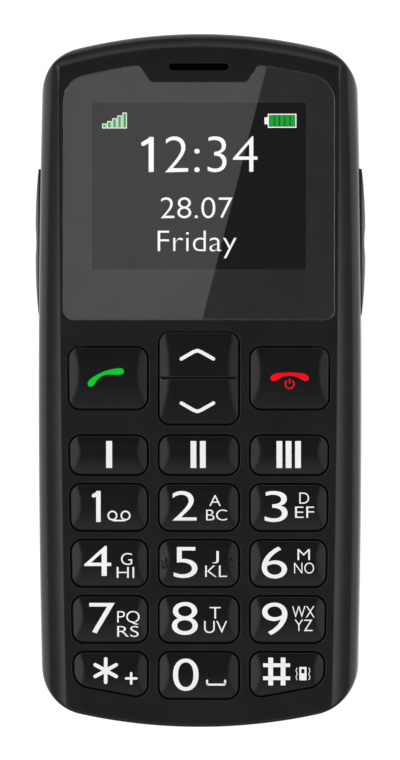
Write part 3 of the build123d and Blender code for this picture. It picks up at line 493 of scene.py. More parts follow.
# %% Finishes by slot
slots = {
    "case_front": satin_black,
    "case_rear": rear_black,
    "back_cover": grip_black,
    "key_plastic": key_black,
    "side_key_plastic": side_black,
    "tape": finish("black_tape", 0.015, 0.6, 0.4, 3),
    "lamp_frame": finish("white_lamp_frame", (0.78, 0.78, 0.77), 0.4, 0.3, 1),
    "foam": finish("gasket_foam", (0.03, 0.03, 0.032), 0.95, 0.12, 25, mottle=0.3),
    "flex": finish("amber_flex_film", (0.42, 0.21, 0.045), 0.3, 0.7, 2, mottle=0.25, coat=0.4),
    "silicone": finish("keypad_silicone", 0.012, 0.75, 0.25, 3, specular=0.2),
    "spring_steel": finish("snap_domes", (0.6, 0.6, 0.58), 0.25, 0.2, 1, metal=1),
    "tinned_steel": finish("tinned_steel", (0.58, 0.58, 0.56), 0.34, 0.18, 2, mottle=0.16, metal=1),
    "chip_moulding": finish("chip_moulding", (0.018, 0.018, 0.019), 0.7, 0.08, 4),
    "speaker_can": finish("speaker_cap", (0.05, 0.05, 0.052), 0.45, 0.15, 3),
    "tungsten": finish("sintered_weight", (0.26, 0.26, 0.27), 0.42, 0.1, 4, metal=1),
    "contact_moulding": finish("contact_block", (0.02, 0.02, 0.021), 0.5, 0.1, 2),
    "copper_sheet": finish("antenna_copper", (0.6, 0.34, 0.19), 0.33, 0.2, 2, mottle=0.2, metal=1),
    "insert_brass": finish("knurled_brass", (0.6, 0.44, 0.19), 0.36, 0.2, 3, metal=1),
    "screw_steel": finish("black_screws", 0.12, 0.38, 0.1, 2, metal=1),
}
print("finishes by slot:", len(slots))

# %% [markdown]
# ## Finishes with a pattern
# The board has tracks under its solder mask, the earpiece mesh is woven wire, and the battery has a wrap
# with a seam and a plain coloured band. Each pattern is a texture on top of the same recipe.

# %% Patterned finishes
def pattern(material, texture, settings, low, high, sharp, relief=6.0):
    """Lays a procedural pattern into a finish's colour and its surface."""
    tree = material.node_tree
    place = tree.nodes["Texture Coordinate"].outputs["Object"]
    figure = add_node(tree, texture, {"Vector": place, **settings})
    source = figure.outputs["Fac" if texture == "TexWave" else "Distance"]
    base = add_ramp(tree, source, list(zip(sharp, (low, high))))
    set_shader(material, {"Base Color": base})
    rise = add_node(tree, "Bump", {"Height": source, "Distance": relief * MICRON})
    set_node(tree, tree.nodes["Bump"], {"Normal": rise.outputs["Normal"]})
    return material


slots["circuit_board"] = pattern(
    finish("green_circuit_board", (0.01, 0.1, 0.04), 0.35, 0.2, 2, coat=0.3),
    "TexVoronoi", {"Scale": 700.0, "feature": "DISTANCE_TO_EDGE", "distance": "MANHATTAN"},
    (0.03, 0.2, 0.08), (0.006, 0.085, 0.032), (0.05, 0.12),
)
slots["mesh"] = pattern(
    finish("black_mesh", 0.004, 0.7, 0.1, 2, specular=0.0),
    "TexVoronoi", {"Scale": 2600.0, "Randomness": 0.0},
    0.0002, 0.002, (0.28, 0.4), relief=60,
)
slots["battery_wrap"] = pattern(
    finish("battery_wrap", (0.36, 0.37, 0.39), 0.4, 0.5, 3, coat=0.2),
    "TexWave", {"Scale": 9.0, "wave_type": "BANDS", "bands_direction": "Y", "Distortion": 0.0},
    (0.05, 0.13, 0.3), (0.36, 0.37, 0.39), (0.1, 0.12), relief=0,
)
print("patterns made")

# %% [markdown]
# ## Clear plastic, print and light
# The window is clear acrylic over a black print. The readout gives its own light, so its material is an
# emission on a dark ground. White and coloured legends are screen printed: matt, with a slightly uneven
# cover of ink.

# %% Window, print and light
CELL_SIZE, PANE_IOR = 0.2, 1.8


def glowing(name, color, strength):
    """A lit figure of the screen: fine cells, each a little brighter in its middle."""
    material = finish(name, 0.004, 0.4, specular=0.05)
    tree = material.node_tree
    place = tree.nodes["Texture Coordinate"].outputs["Object"]
    cells = add_node(tree, "TexVoronoi", {"Vector": place, "Scale": 1 / (CELL_SIZE * MM), "Randomness": 0.0})
    light = add_ramp(tree, cells.outputs["Distance"], [(0, color), (1, np.multiply(color, 0.86))])
    set_shader(material, {"Emission Color": light, "Emission Strength": strength})
    return material


clear_window = finish("clear_window", (0.97, 0.97, 0.975), 0.0, relief=0.0, mottle=0.01, wander=0.0)
set_shader(clear_window, {"Transmission Weight": 1.0, "IOR": PANE_IOR})
slots["window"] = clear_window
slots["screen"] = finish(
    "screen_glass", (0.0015, 0.0015, 0.0017), 0.3, 0.3, 0.3, mottle=0.05, specular=0.05
)
window_print = finish(
    "black_window_print", (0.06, 0.06, 0.061), 0.06, relief=0.0, wander=0.0, specular=0.36
)
ink_white = finish("white_print", 0.9, 0.6, 0.07, 1.5, mottle=0.03, specular=0.3)
ink_green = finish("green_print", (0.001, 0.58, 0.03), 0.7, 0.07, 1.5, mottle=0.06, specular=0.12)
ink_red = finish("red_print", (0.9, 0.001, 0.008), 0.7, 0.07, 1.5, mottle=0.06, specular=0.12)
lit_white = glowing("lit_white", (1.0, 1.0, 1.0), 1.2)
lit_green = glowing("lit_green", (0.001, 0.44, 0.034), 1.05)
lit_deep_green = glowing("lit_deep_green", (0.001, 0.05, 0.006), 1.0)
print("window, inks and lit figures made")

# %% [markdown]
# ## Front cover
# The front is one moulding: a flat face, two flanks that are round from a crease down, and a soft bevel at
# the ear end. Its height is the lowest of three surfaces, with each crease rounded a little. Its rim is a
# band of rings parallel to the outline, close together where the surface turns. Inside the band the face is
# flat, so large triangles fill it round the openings.

# %% Front cover: height of the skin
bevel_z, bevel_radius, bevel_start, bevel_reach = 10.002, 3.6, 84.826, 3.4
slope_start, bevel_slope, crease_soft, bevel_soft = 84.75, 0.2, 0.03, 0.12
foot_flare = 0.25


def skin_top(x, y, inset=0.0):
    """Height of the skin, or of its inner side when drawn in: lowest of face, flank arc and ear bevel."""
    foot_x = side_x(y) + foot_flare
    across = foot_x - crease_x(y)
    rise = front_z - parting_z
    radius = (across**2 + rise**2) / (2 * across)
    out = np.maximum(np.abs(x) - (foot_x - radius), 0)
    flank = parting_z + np.sqrt(np.maximum((radius - inset) ** 2 - out**2, 0))
    from_centre = np.hypot(x, y - ear_centre_y)
    bevel = bevel_z + np.sqrt(bevel_radius**2 - np.clip(from_centre - bevel_start, 0, bevel_reach) ** 2)
    bevel = bevel + bevel_slope * np.maximum(slope_start - from_centre, 0) - inset
    face = np.full_like(flank, under_z if inset else front_z)
    return smooth_min(smooth_min(face, flank, crease_soft), bevel, bevel_soft)


# %% Front cover: the band along the outline
ear_depth, foot_depth, past_crease = 3.9, 3.6, 0.22
edge_round, foot_chamfer, edge_steps = 0.4, 0.12, 7
loop_xy, loop_out = case_loop
along = loop_out[:, 1] ** 2
end_depth = np.where(loop_out[:, 1] > 0, ear_depth, foot_depth)
side_depth = side_x(loop_xy[:, 1]) - crease_x(loop_xy[:, 1]) + past_crease
band_depth = side_depth * (1 - along) + end_depth * along
near_edge, edge_drop = quarter(edge_round, edge_steps)
steps_in = np.concatenate([np.linspace(0.85, 0.55, 4), np.linspace(0.5, 0, 14)])
depth = np.concatenate([
    np.broadcast_to(near_edge[::-1, None], (edge_steps, len(loop_xy))),
    edge_round + (band_depth - 1.1 - edge_round) * np.linspace(0.12, 1, 12)[:, None],
    band_depth - steps_in[:, None],
])


def drawn_in(by):
    """The outline drawn in by its own depth at every point: one ring for each row of depths."""
    return loop_xy[None] - by[..., None] * loop_out[None]


band_plan = drawn_in(depth)
band_z = skin_top(band_plan[..., 0], band_plan[..., 1])
band_z[:edge_steps] -= edge_drop[::-1, None]
band_z[-1] = front_z
inner_ring = band_plan[-1]

parting = np.full(len(loop_xy), parting_z)
wall_plan = rings(case_loop, [-foot_chamfer, 0, 0])
wall_z = np.stack([parting, parting + foot_chamfer, band_z[0]])
depth_in = side_wall + (band_depth - side_wall) * np.linspace(0, 1, 9)[:, None]
under_plan = drawn_in(depth_in)
under_band_z = np.minimum(skin_top(under_plan[..., 0], under_plan[..., 1], skin_wall), under_z)
under_band_z[-1] = under_z
foot_plan = rings(case_loop, [-foot_chamfer, -side_wall, -side_wall])
foot_z = np.stack([parting, parting, under_band_z[0]])
print("band depth", band_depth.min().round(2), "to", band_depth.max().round(2))

# %% [markdown]
# Each opening has a rim with a small radius, then a wall straight down. The window's opening is a shallow
# tray with the screen's own opening in its floor.

# %% Front cover: openings, and the whole moulding
cover_sheets = [
    sweep(band_plan, band_z),
    sweep(wall_plan, wall_z),
    sweep(foot_plan, foot_z),
    sweep(under_plan, under_band_z),
]
face_holes, under_holes = [], []
key_hole_round, slot_round, window_round, window_gap, sight_gap = 0.13, 0.12, 0.07, 0.12, 0.35


def cut(loop, radius, low):
    """Cuts an opening: its rim and wall join the sheets, and the ring round it becomes a hole."""
    inset, drop = quarter(radius, 5)
    offsets = np.concatenate([[radius + 0.04], inset, [0]])
    heights = np.concatenate([[front_z], front_z - drop, [low]])
    cover_sheets.append(sweep(rings(loop, offsets), heights[:, None]))
    face_holes.append(rings(loop, [radius + 0.04])[0])


for loop, _, _ in key_table.values():
    hole = moved(loop, key_gap / 2)
    cut(hole, key_hole_round, under_z)
    under_holes.append(hole[0])
cut(slot_loop, slot_round, under_z)
under_holes.append(slot_loop[0])
window_hole = moved(window_loop, window_gap)
cut(window_hole, window_round, recess_z)
sight_loop = moved(screen_loop, sight_gap)
cover_sheets.append(fill(window_hole[0], [sight_loop[0]], recess_z))
cover_sheets.append(sweep(rings(sight_loop, [0, 0]), np.array([[recess_z], [under_z]])))
under_holes.append(sight_loop[0])
cover_sheets.append(fill(inner_ring, face_holes, front_z))
cover_sheets.append(fill(under_plan[-1], under_holes, under_z))
make_piece(
    "moulded_front", cover_sheets, "case", satin_black, sharp=32, stands_for=["front_cover"]
)

# %% [markdown]
# ## Key caps
# A key is crowned from its ear edge to its foot edge, and a facet falls away at its left and right. Where
# they cross, the facet becomes a lens that is widest at mid height and runs out at the corners: it catches
# the light at both ends of every key. The rim has a small radius, as a sharp one would look cut from paper.

# %% Key caps
key_rim, facet_width, facet_drop = 0.2, 1.9, 0.36
crown_z = front_z + key_proud - 0.014
groove_depth, groove_width = 0.22, 0.14
mark_x, mark_half, mark_height, mark_soft, mark_length = 5.85, 0.2, 0.14, 0.15, 0.75


def key_surface(name):
    """Height of a key over its plan: crown, facets, and the groove of the rocker or the marks of the 5."""
    loop, top, bottom = key_table[name]
    cap = moved(loop, -key_gap / 2)[0]
    left, right = cap[:, 0].min(), cap[:, 0].max()
    middle_y, half = (top + bottom) / 2, (top - bottom) / 2

    def height(x, y):
        crown = crown_z - key_crown * ((y - middle_y) / half / 1.2 - 1 / 6) ** 2
        facet = crown_z - facet_drop * (1 - np.minimum(x - left, right - x) / facet_width)
        z = smooth_min(crown, facet, 0.07)
        if name == "navigation_key":
            z = z - groove_depth * np.exp(-(((y - middle_y) / groove_width) ** 2))
        if name == "key_5":
            from_mark = np.maximum(np.abs(np.abs(x) - mark_x) - mark_half, 0)
            fade = (from_mark / mark_soft) ** 2 + ((y - middle_y) / mark_length) ** 6
            z = z + mark_height * np.exp(-fade)
            z = np.minimum(z, crown_z)
        return z

    return height


def make_key(name):
    """A cap: crowned top, rounded rim, straight walls and a closed foot."""
    loop, top, bottom = key_table[name]
    height = key_surface(name)
    middle_y = (top + bottom) / 2
    inset, drop = quarter(key_rim, 7)
    offsets = -key_gap / 2 - np.concatenate([[key_rim + 0.12, key_rim + 0.05], inset])
    plan = rings(loop, offsets)
    z = height(plan[..., 0], plan[..., 1]) - np.concatenate([[0, 0], drop])[:, None]
    foot = np.full(len(loop[0]), key_foot_z)
    wall = sweep(np.stack([plan[-1], plan[-1]]), np.stack([z[-1], foot]))
    grooves = middle_y + np.array([-0.5, -0.35, -0.22, -0.11, 0, 0.11, 0.22, 0.35, 0.5])
    crown = fill(plan[0], [], height, step=0.14 if name == "key_5" else 0.24, extra_y=grooves)
    base = fill(plan[-1], [], key_foot_z)
    sheets = [sweep(plan, z), wall, crown, base]
    return make_piece(name + "_cap", sheets, name, key_black, sharp=50, stands_for=[name])


for name in key_table:
    make_key(name)

# %% [markdown]
# ## Window
# The pane is a flat plate with a softened edge, sunk a hair below the face. Its back is printed black round
# the screen. Here the print is a thin plate of its own just under the pane.

# %% Window pane and its print
pane_top, pane_foot, pane_round, print_top, print_foot = 13.5, 12.6, 0.12, 12.59, 12.56
inset, drop = quarter(pane_round, 5)
pane_plan = rings(window_loop, -np.concatenate([[pane_round + 0.05], inset, [0]]))
pane_z = np.concatenate([[pane_top], pane_top - drop, [pane_foot]])[:, None]
make_piece(
    "window_pane",
    [sweep(pane_plan, pane_z), fill(pane_plan[0], [], pane_top), fill(pane_plan[-1], [], pane_foot)],
    "case", slots["window"], stands_for=["display_window"],
)
print_z = np.array([[print_top], [print_foot]])
print_sheets = [sweep(rings(loop, [0, 0]), print_z) for loop in (window_loop, screen_loop)]
print_sheets += [fill(window_loop[0], [screen_loop[0]], z) for z in (print_top, print_foot)]
make_piece("window_print", print_sheets, "case", window_print)

# %% [markdown]
# ## Figures
# Figures and letters are font outlines, made a mesh at once and fitted to their place. A flat letter would
# cut into a crowned key, so each is cut across every 0.4 mm, and every point takes the key's own height.
# Signs such as the handset are ribbons: a path with a changing width and round ends.

# %% Figure helpers
PX, SIGN_PX, CUT = 0.17075, 0.17006, 0.4
SIGN_X, SIGN_Y = 198.5, 380.24


def place_box(x0, x1, y0, y1):
    """A box that was measured on the picture, as millimetres on the phone: left, right, low, high."""
    return tuple(SIGN_PX * d for d in (x0 - SIGN_X, x1 - SIGN_X, SIGN_Y - y1, SIGN_Y - y0))


def glyphs(text, box, weight=0.0):
    """Flat triangles of a text, stretched to fill its box."""
    curve = bpy.data.curves.new("glyphs", "FONT")
    curve.body = text
    curve.offset = weight
    curve.resolution_u = 6
    holder = add_object("glyphs", curve)
    flat = bpy.data.meshes.new_from_object(holder.evaluated_get(bpy.context.evaluated_depsgraph_get()))
    bpy.data.objects.remove(holder)
    shape = bmesh.new()
    shape.from_mesh(flat)
    bmesh.ops.remove_doubles(shape, verts=shape.verts, dist=1e-5)
    co = np.array([v.co[:] for v in shape.verts])
    low, high = co.min(0), co.max(0)
    left, right, foot, top = box
    scale_x, scale_y = (right - left) / (high[0] - low[0]), (top - foot) / (high[1] - low[1])
    corner = Vector((left - low[0] * scale_x, foot - low[1] * scale_y, 0))
    to_box = Matrix.LocRotScale(corner, None, Vector((scale_x, scale_y, 1)))
    bmesh.ops.transform(shape, verts=shape.verts, matrix=to_box)
    for y in np.arange(foot + CUT / 2, top, CUT):
        geometry = shape.verts[:] + shape.edges[:] + shape.faces[:]
        bmesh.ops.bisect_plane(shape, geom=geometry, plane_co=(0, float(y), 0), plane_no=(0, 1, 0))
    bmesh.ops.triangulate(shape, faces=shape.faces)
    shape.verts.index_update()
    points = np.array([v.co[:2] for v in shape.verts])
    faces = np.array([[v.index for v in face.verts] for face in shape.faces])
    shape.free()
    bpy.data.meshes.remove(flat)
    return points, faces


def strip_faces(count):
    """Triangles between two rows of points, where the second row comes after the first."""
    i = np.arange(count - 1)
    far = i + count
    return np.concatenate([np.stack([i, far, far + 1], 1), np.stack([i, far + 1, i + 1], 1)])


def ribbon(path, width, ends=True):
    """Flat triangles along a path of points: the path moved half a width to each side, with round ends."""
    path = np.asarray(path, float)
    step = np.hypot(*np.diff(path, axis=0).T)
    run = np.concatenate([[0], np.cumsum(step)])
    width = np.interp(run / run[-1], np.linspace(0, 1, np.size(width)), np.ravel(width))
    near_ends = run[-1] * np.array([0.01, 0.03, 0.97, 0.99])
    fine = np.unique(np.concatenate([np.linspace(0, run[-1], 28), run, near_ends]))
    x, y, w = (np.interp(fine, run, values) for values in (path[:, 0], path[:, 1], width))
    if ends:
        reach_in = np.minimum(fine, run[-1] - fine) / np.maximum(w / 2, 1e-6)
        w = w * np.sqrt(np.clip(1 - np.clip(1 - reach_in, 0, 1) ** 2, 0.0004, 1))
    tangent = np.stack([np.gradient(x, fine), np.gradient(y, fine)], 1)
    tangent /= np.hypot(*tangent.T)[:, None]
    normal = np.stack([-tangent[:, 1], tangent[:, 0]], 1)
    middle = np.stack([x, y], 1)
    points = np.concatenate([middle + normal * w[:, None] / 2, middle - normal * w[:, None] / 2])
    return points, strip_faces(len(fine))


def ring_sign(x, y, radius, width, gap=0.0, facing=90.0):
    """A circle drawn with a ribbon, open by gap degrees towards facing."""
    turn = np.radians(np.linspace(facing + gap / 2, facing + 360 - gap / 2, 30))
    path = np.stack([x + radius * np.cos(turn), y + radius * np.sin(turn)], 1)
    return ribbon(path, width, ends=gap > 0)


def bar(x0, x1, y0, y1):
    """A plain upright bar, cut across so that it can follow a crown."""
    y = np.linspace(y0, y1, max(int((y1 - y0) / CUT), 1) + 1)
    points = np.concatenate([np.column_stack([np.full(len(y), x), y]) for x in (x0, x1)])
    return points, strip_faces(len(y))


def join(*figures):
    """Several flat figures as one."""
    points, faces, start = [], [], 0
    for figure_points, figure_faces in figures:
        points.append(figure_points)
        faces.append(figure_faces + start)
        start += len(figure_points)
    return np.concatenate(points), np.concatenate(faces)


def lay(name, figure, surface, body, material, lift=0.012, sink=0.03):
    """Makes a flat figure a thin closed plate that follows a surface: top, foot and border wall."""
    points, faces = figure
    a, b, c = (points[faces[:, k]] for k in range(3))
    turn = (b[:, 0] - a[:, 0]) * (c[:, 1] - a[:, 1]) - (b[:, 1] - a[:, 1]) * (c[:, 0] - a[:, 0])
    faces = np.where(turn[:, None] > 0, faces, faces[:, ::-1])[np.abs(turn) > 1e-7]
    z = surface(points[:, 0], points[:, 1])
    top = np.column_stack([points, z + lift])
    low = np.column_stack([points, z - sink])
    edges = np.concatenate([faces[:, [0, 1]], faces[:, [1, 2]], faces[:, [2, 0]]])
    known = set(map(tuple, edges.tolist()))
    border = np.array([edge for edge in edges.tolist() if (edge[1], edge[0]) not in known])
    n = len(points)
    walls = np.column_stack([border[:, 1], border[:, 0], border[:, 0] + n, border[:, 1] + n])
    mesh = bpy.data.meshes.new(name)
    all_faces = faces.tolist() + (faces[:, ::-1] + n).tolist() + walls.tolist()
    mesh.from_pydata((np.concatenate([top, low]) * MM).tolist(), [], all_faces)
    mesh.validate()
    return finish_piece(name, mesh, body, material, 40, ())


# %% [markdown]
# ## Legends of the keys
# Each dial key carries its figure and the letters that go with it. The call and end keys carry a handset,
# the rocker two arrowheads, and the memory keys one, two and three bars.

# %% Legends: figures and letters
def legend(name, figure, material=ink_white, tag="legend"):
    """Prints a figure on a key."""
    return lay(f"{tag}_{name}", figure, key_surface(name), name, material)


FIGURE_WEIGHT, LETTER_WEIGHT = -0.006, -0.008


def px_bar(*box):
    """An upright bar over a box that was measured on the picture."""
    return bar(*place_box(*box))


def numeral(text, box):
    """A figure from the font. The 1 is drawn as an upright and a flag, which the font's own 1 lacks."""
    if text != "1":
        return glyphs(text, box, FIGURE_WEIGHT)
    left, right, low, high = box
    stem = (high - low) * 0.145
    flag_foot = (left + stem * 0.4, high - (right - left) * 0.55)
    flag = ribbon([(right - stem * 0.5, high - stem * 0.45), flag_foot], stem * 0.85)
    return join(bar(right - stem, right, low, high), flag)


FIGURE_BOXES = {
    "key_1": [("1", 90, 100.4, 491, 522)],
    "key_2": [("2", 171.7, 196.5, 491, 521), ("A", 209.2, 220.8, 495, 506), ("BC", 206, 227, 509.5, 520.5)],
    "key_3": [
        ("3", 264.5, 287.5, 491, 522), ("D", 299.2, 309, 492.5, 503.6), ("EF", 295, 314, 506.5, 517.8)
    ],
    "key_4": [("4", 84, 111, 546, 576), ("G", 120.8, 132, 553, 565), ("HI", 116.5, 134, 567, 578)],
    "key_5": [("5", 173.5, 197.4, 547, 578), ("J", 212.3, 218.7, 551, 563.5), ("KL", 205, 227, 565.5, 577)],
    "key_6": [
        ("6", 261.6, 287, 546.5, 578.5), ("M", 297.4, 309.8, 549, 560), ("NO", 294, 314, 562.5, 573.5)
    ],
    "key_7": [("7", 89, 114.5, 603, 633.5), ("PQ", 117, 139.5, 611, 625), ("RS", 117, 138.5, 626, 637)],
    "key_8": [("8", 171.7, 197.7, 602, 635), ("T", 209.6, 220.6, 607, 618.5), ("UV", 204, 227, 621, 633)],
    "key_9": [
        ("9", 262, 287.4, 602.5, 635), ("WX", 292, 314.5, 606, 617.5), ("YZ", 294.5, 312.5, 619.5, 631)
    ],
    "key_0": [("0", 172.8, 198.5, 658.5, 691)],
}
for name, items in FIGURE_BOXES.items():
    (digit, *digit_box), *letters = items
    figures = [numeral(digit, place_box(*digit_box))]
    figures += [glyphs(letter, place_box(*box), LETTER_WEIGHT) for letter, *box in letters]
    legend(name, join(*figures))

# %% Legends: signs
def px_path(points):
    """Points measured on the picture, as millimetres."""
    points = np.array(points, float)
    return SIGN_PX * np.stack([points[:, 0] - SIGN_X, SIGN_Y - points[:, 1]], 1)


def arc_path(points, steps=24):
    """A smooth curve through three or more points, as a polynomial in x."""
    points = px_path(points)
    curve = np.polyfit(points[:, 0], points[:, 1], len(points) - 1)
    x = np.linspace(points[0, 0], points[-1, 0], steps)
    return np.stack([x, np.polyval(curve, x)], 1)


voicemail = join(
    ring_sign(*px_path([(112.2, 515.6)])[0], 0.72, 0.27),
    ring_sign(*px_path([(125.3, 515.6)])[0], 0.72, 0.27),
    ribbon(px_path([(112.2, 520.6), (125.3, 520.6)]), 0.27),
)
legend("key_1", voicemail, tag="voicemail")
space_sign = ribbon(px_path([(207, 679.5), (207, 684.6), (225, 684.6), (225, 679.5)]), 0.34)
legend("key_0", space_sign, tag="space")
star_arms = [
    ribbon(px_path([(105.5 - 14 * c, 670.7 + 13.5 * s), (105.5 + 14 * c, 670.7 - 13.5 * s)]), 0.62)
    for c, s in ((0, 1), (math.cos(0.52), math.sin(0.52)), (math.cos(0.52), -math.sin(0.52)))
]
plus_ends = [(124.6, 678.5), (137.4, 678.5)], [(131, 672.1), (131, 684.9)]
plus_arms = [ribbon(px_path(ends), 0.42) for ends in plus_ends]
for k, arm in enumerate(star_arms + plus_arms):
    legend("star_key", arm, tag=f"star_arm_{k + 1}")
hash_bars = [
    (268.2, 273, 657.5, 685.3),
    (280.6, 285.4, 657.5, 685.3),
    (263, 290, 663.2, 667),
    (263, 290, 676.2, 680),
]
for k, box in enumerate(hash_bars):
    legend("hash_key", px_bar(*box), tag=f"hash_bar_{k + 1}")
vibrate = [px_bar(*part) for part in (
    (299.2, 306.5, 666.8, 669), (299.2, 301.2, 669, 673.2),
    (304.4, 306.5, 669, 673.2), (299.2, 306.5, 673.2, 680.2),
)] + [
    ribbon(px_path([(297, 667.5), (295.9, 670.5), (297.2, 673.7), (295.9, 676.8), (297, 680)]), 0.13),
    ribbon(px_path([(308.8, 667.5), (309.9, 670.5), (308.6, 673.7), (309.9, 676.8), (308.8, 680)]), 0.13),
]
legend("hash_key", join(*vibrate), tag="vibrate")
memory_bars = {
    "memory_key_1": [(105.9, 111.9)],
    "memory_key_2": [(190.4, 196.2), (199.8, 205.6)],
    "memory_key_3": [(276.4, 282.2), (285.6, 291.4), (295, 300.8)],
}
for name, columns in memory_bars.items():
    legend(name, join(*(px_bar(x0, x1, 441, 468) for x0, x1 in columns)))
for tag, flip, y_tip in (("arrow_up", 1, 350.5), ("arrow_down", -1, 411.5)):
    foot_y, soft = y_tip + flip * 9.3, y_tip + flip * 1.4
    arrow = px_path([(179.6, foot_y), (193.3, soft), (197.2, y_tip), (201, soft), (214.9, foot_y)])
    legend("navigation_key", ribbon(arrow, 0.6), tag=tag)
call_path = arc_path([(88.6, 386.2), (96.5, 377.4), (107, 372.6), (123.8, 370.9)])
legend("call_key", ribbon(call_path, [0.95, 1.12, 0.72, 0.6, 0.66, 0.95, 1.12, 1.0]), ink_green, "handset")
end_path = arc_path([(270.8, 379.7), (279, 375.7), (289.5, 374.1), (300, 375.7), (308.4, 379.7)])
legend("end_key", ribbon(end_path, [0.95, 1.15, 0.62, 0.56, 0.62, 1.15, 0.95]), ink_red, "handset")
power_x, power_y = px_path([(289.5, 384)])[0]
power_ring = ring_sign(power_x, power_y, 0.74, 0.24, gap=70)
power_stroke = ribbon(px_path([(289.5, 378.5), (289.5, 383.6)]), 0.26)
legend("end_key", join(power_ring, power_stroke), ink_red, "power_sign")

# %% [markdown]
# ## Readout
# The screen is lit: bars for the signal, a battery sign, the time, the date and the weekday. They lie on
# the panel, under the pane.

# %% Readout
panel_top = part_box("lcd_panel")[1].z / MM


def on_panel(x, y):
    """The panel is flat."""
    return np.full_like(x, panel_top)


def readout(name, figure, material, lift=0.02):
    """A lit figure on the panel."""
    return lay(name, figure, on_panel, "case", material, lift=lift, sink=0.0)


hour_one = numeral("1", place_box(138.6, 153, 136.6, 171.6))
rest_of_time = glyphs("2:34", place_box(164.5, 257, 136, 172), -0.013)
readout("readout_time", join(hour_one, rest_of_time), lit_white)
readout("readout_date", glyphs("28.07", place_box(160, 232, 197, 218), -0.011), lit_white)
readout("readout_day", glyphs("Friday", place_box(157, 236, 230.5, 258), -0.012), lit_white)
signal_heights = (3.5, 6, 8.8, 11.5, 14.5)
for k, tall in enumerate(signal_heights):
    left = 101.3 + 5.1 * k
    readout(f"signal_rim_{k + 1}", px_bar(left, left + 4.4, 128 - tall - 1.4, 128), lit_white)
    readout(f"signal_bar_{k + 1}", px_bar(left + 0.8, left + 3.6, 128 - tall - 0.6, 127.2), lit_green, 0.03)
readout("battery_rim", px_bar(267.3, 296, 113.5, 127.5), lit_white)
readout("battery_tip", px_bar(264, 267.3, 117, 124), lit_white)
readout("battery_well", px_bar(268.4, 294.9, 114.6, 126.4), lit_deep_green, 0.025)
for k in range(5):
    left = 269 + 5.3 * k
    readout(f"battery_cell_{k + 1}", px_bar(left, left + 4.3, 115, 126), lit_green, 0.03)

# %% [markdown]
# ## Rear mouldings and side keys
# These keep the shape of their solids. Their meshes come as loose triangles, so a copy is merged, which
# lets round surfaces shade as round while true edges stay crisp. Each corner's normal leans to the widest
# face beside it, so a long thin triangle next to a rounding doesn't show.

# %% Copies of the rear mouldings and side keys
def steady_normals(mesh, sharp):
    """Corner normals weighted by area, so that a wide flat face stays flat beside a narrow rounding."""
    corners, count = len(mesh.loops), len(mesh.polygons)
    normal, area, sides = np.empty(3 * count), np.empty(count), np.empty(count, int)
    mesh.polygons.foreach_get("normal", normal)
    mesh.polygons.foreach_get("area", area)
    mesh.polygons.foreach_get("loop_total", sides)
    face = np.repeat(np.arange(count), sides)
    vertex = np.empty(corners, int)
    mesh.loops.foreach_get("vertex_index", vertex)
    order = np.argsort(vertex, kind="stable")
    result = np.empty((corners, 3))
    for group in np.split(order, np.flatnonzero(np.diff(vertex[order])) + 1):
        around = normal.reshape(-1, 3)[face[group]]
        alike = (around @ around.T > math.cos(math.radians(sharp))) * area[face[group]]
        result[group] = alike @ around
    result /= np.linalg.norm(result, axis=1)[:, None]
    mesh.normals_split_custom_set(result.tolist())


def dressed_copy(node, name, body, material, sharp=24.0):
    """A merged copy of a solid's mesh, shaded smooth up to a sharp turn."""
    mesh = frame["nodes"][node].data.copy()
    shell = bmesh.new()
    shell.from_mesh(mesh)
    bmesh.ops.remove_doubles(shell, verts=shell.verts, dist=1e-6)
    shell.to_mesh(mesh)
    shell.free()
    finish_piece(name, mesh, body, material, sharp, [node])
    steady_normals(mesh, sharp)


dressed_copy("rear_housing", "moulded_rear", "case", rear_black)
dressed_copy("battery_cover", "moulded_back", "battery_cover", grip_black)
for side in ("left", "right"):
    body = f"{side}_side_key"
    dressed_copy(body, f"{side}_rocker", body, side_black, 40)

# %% [markdown]
# ## Materials of the pieces that stay
# The record says which slot every solid belongs to, so each takes the finish of its slot.

# %% Assign the finishes
for entry in frame["record"]["subparts"]:
    node = frame["nodes"][entry["node"]]
    node.data.materials.clear()
    node.data.materials.append(slots[entry["material_slot"]])

# %% [markdown]
# ## Camera
# The picture looks down on the face from far away, a little from the right: the face lies a touch to the
# left of the middle of the outline. So a long lens stands high over the phone and leans two degrees.

# %% Camera
PICTURE_HEIGHT, CAMERA_REACH, CAMERA_LEAN, SENSOR = 760 * PX * MM, 1.5, math.radians(2.2), 36
AIM = Vector((0, 0.24 * PX * MM, 8 * MM))
camera_data = bpy.data.cameras.new("camera")
camera = add_object("camera", camera_data)
camera.location = AIM + CAMERA_REACH * Vector((math.sin(CAMERA_LEAN), 0, math.cos(CAMERA_LEAN)))
camera.rotation_euler = (0, CAMERA_LEAN, 0)
camera_data.sensor_width = SENSOR
camera_data.lens = SENSOR * CAMERA_REACH / PICTURE_HEIGHT
scene.camera = camera
scene.view_settings.view_transform = "Standard"

# %% [markdown]
# ## Studio
# A black phone is seen by what it reflects. The room is dark straight above, brightest in a ring round
# that, and dim near the floor, so the face stays black while flanks and bevels light up. A card behind the
# lens gives the slanting glare on the window.

# %% Light from the room
ROOM_TILT = math.radians(10)
ROOM_BY_ANGLE = [
    (90, 0.3), (60, 0.5), (45, 1.15), (32, 2.1), (28, 2.3), (24, 1.2), (19, 0.42), (14, 0.1), (0, 0.055)
]
ROOM_BY_END = [(-1, 0.6), (-0.5, 0.5), (-0.3, 0.36), (-0.12, 0.9), (0, 1), (0.2, 1), (0.5, 0.55), (1, 0.6)]


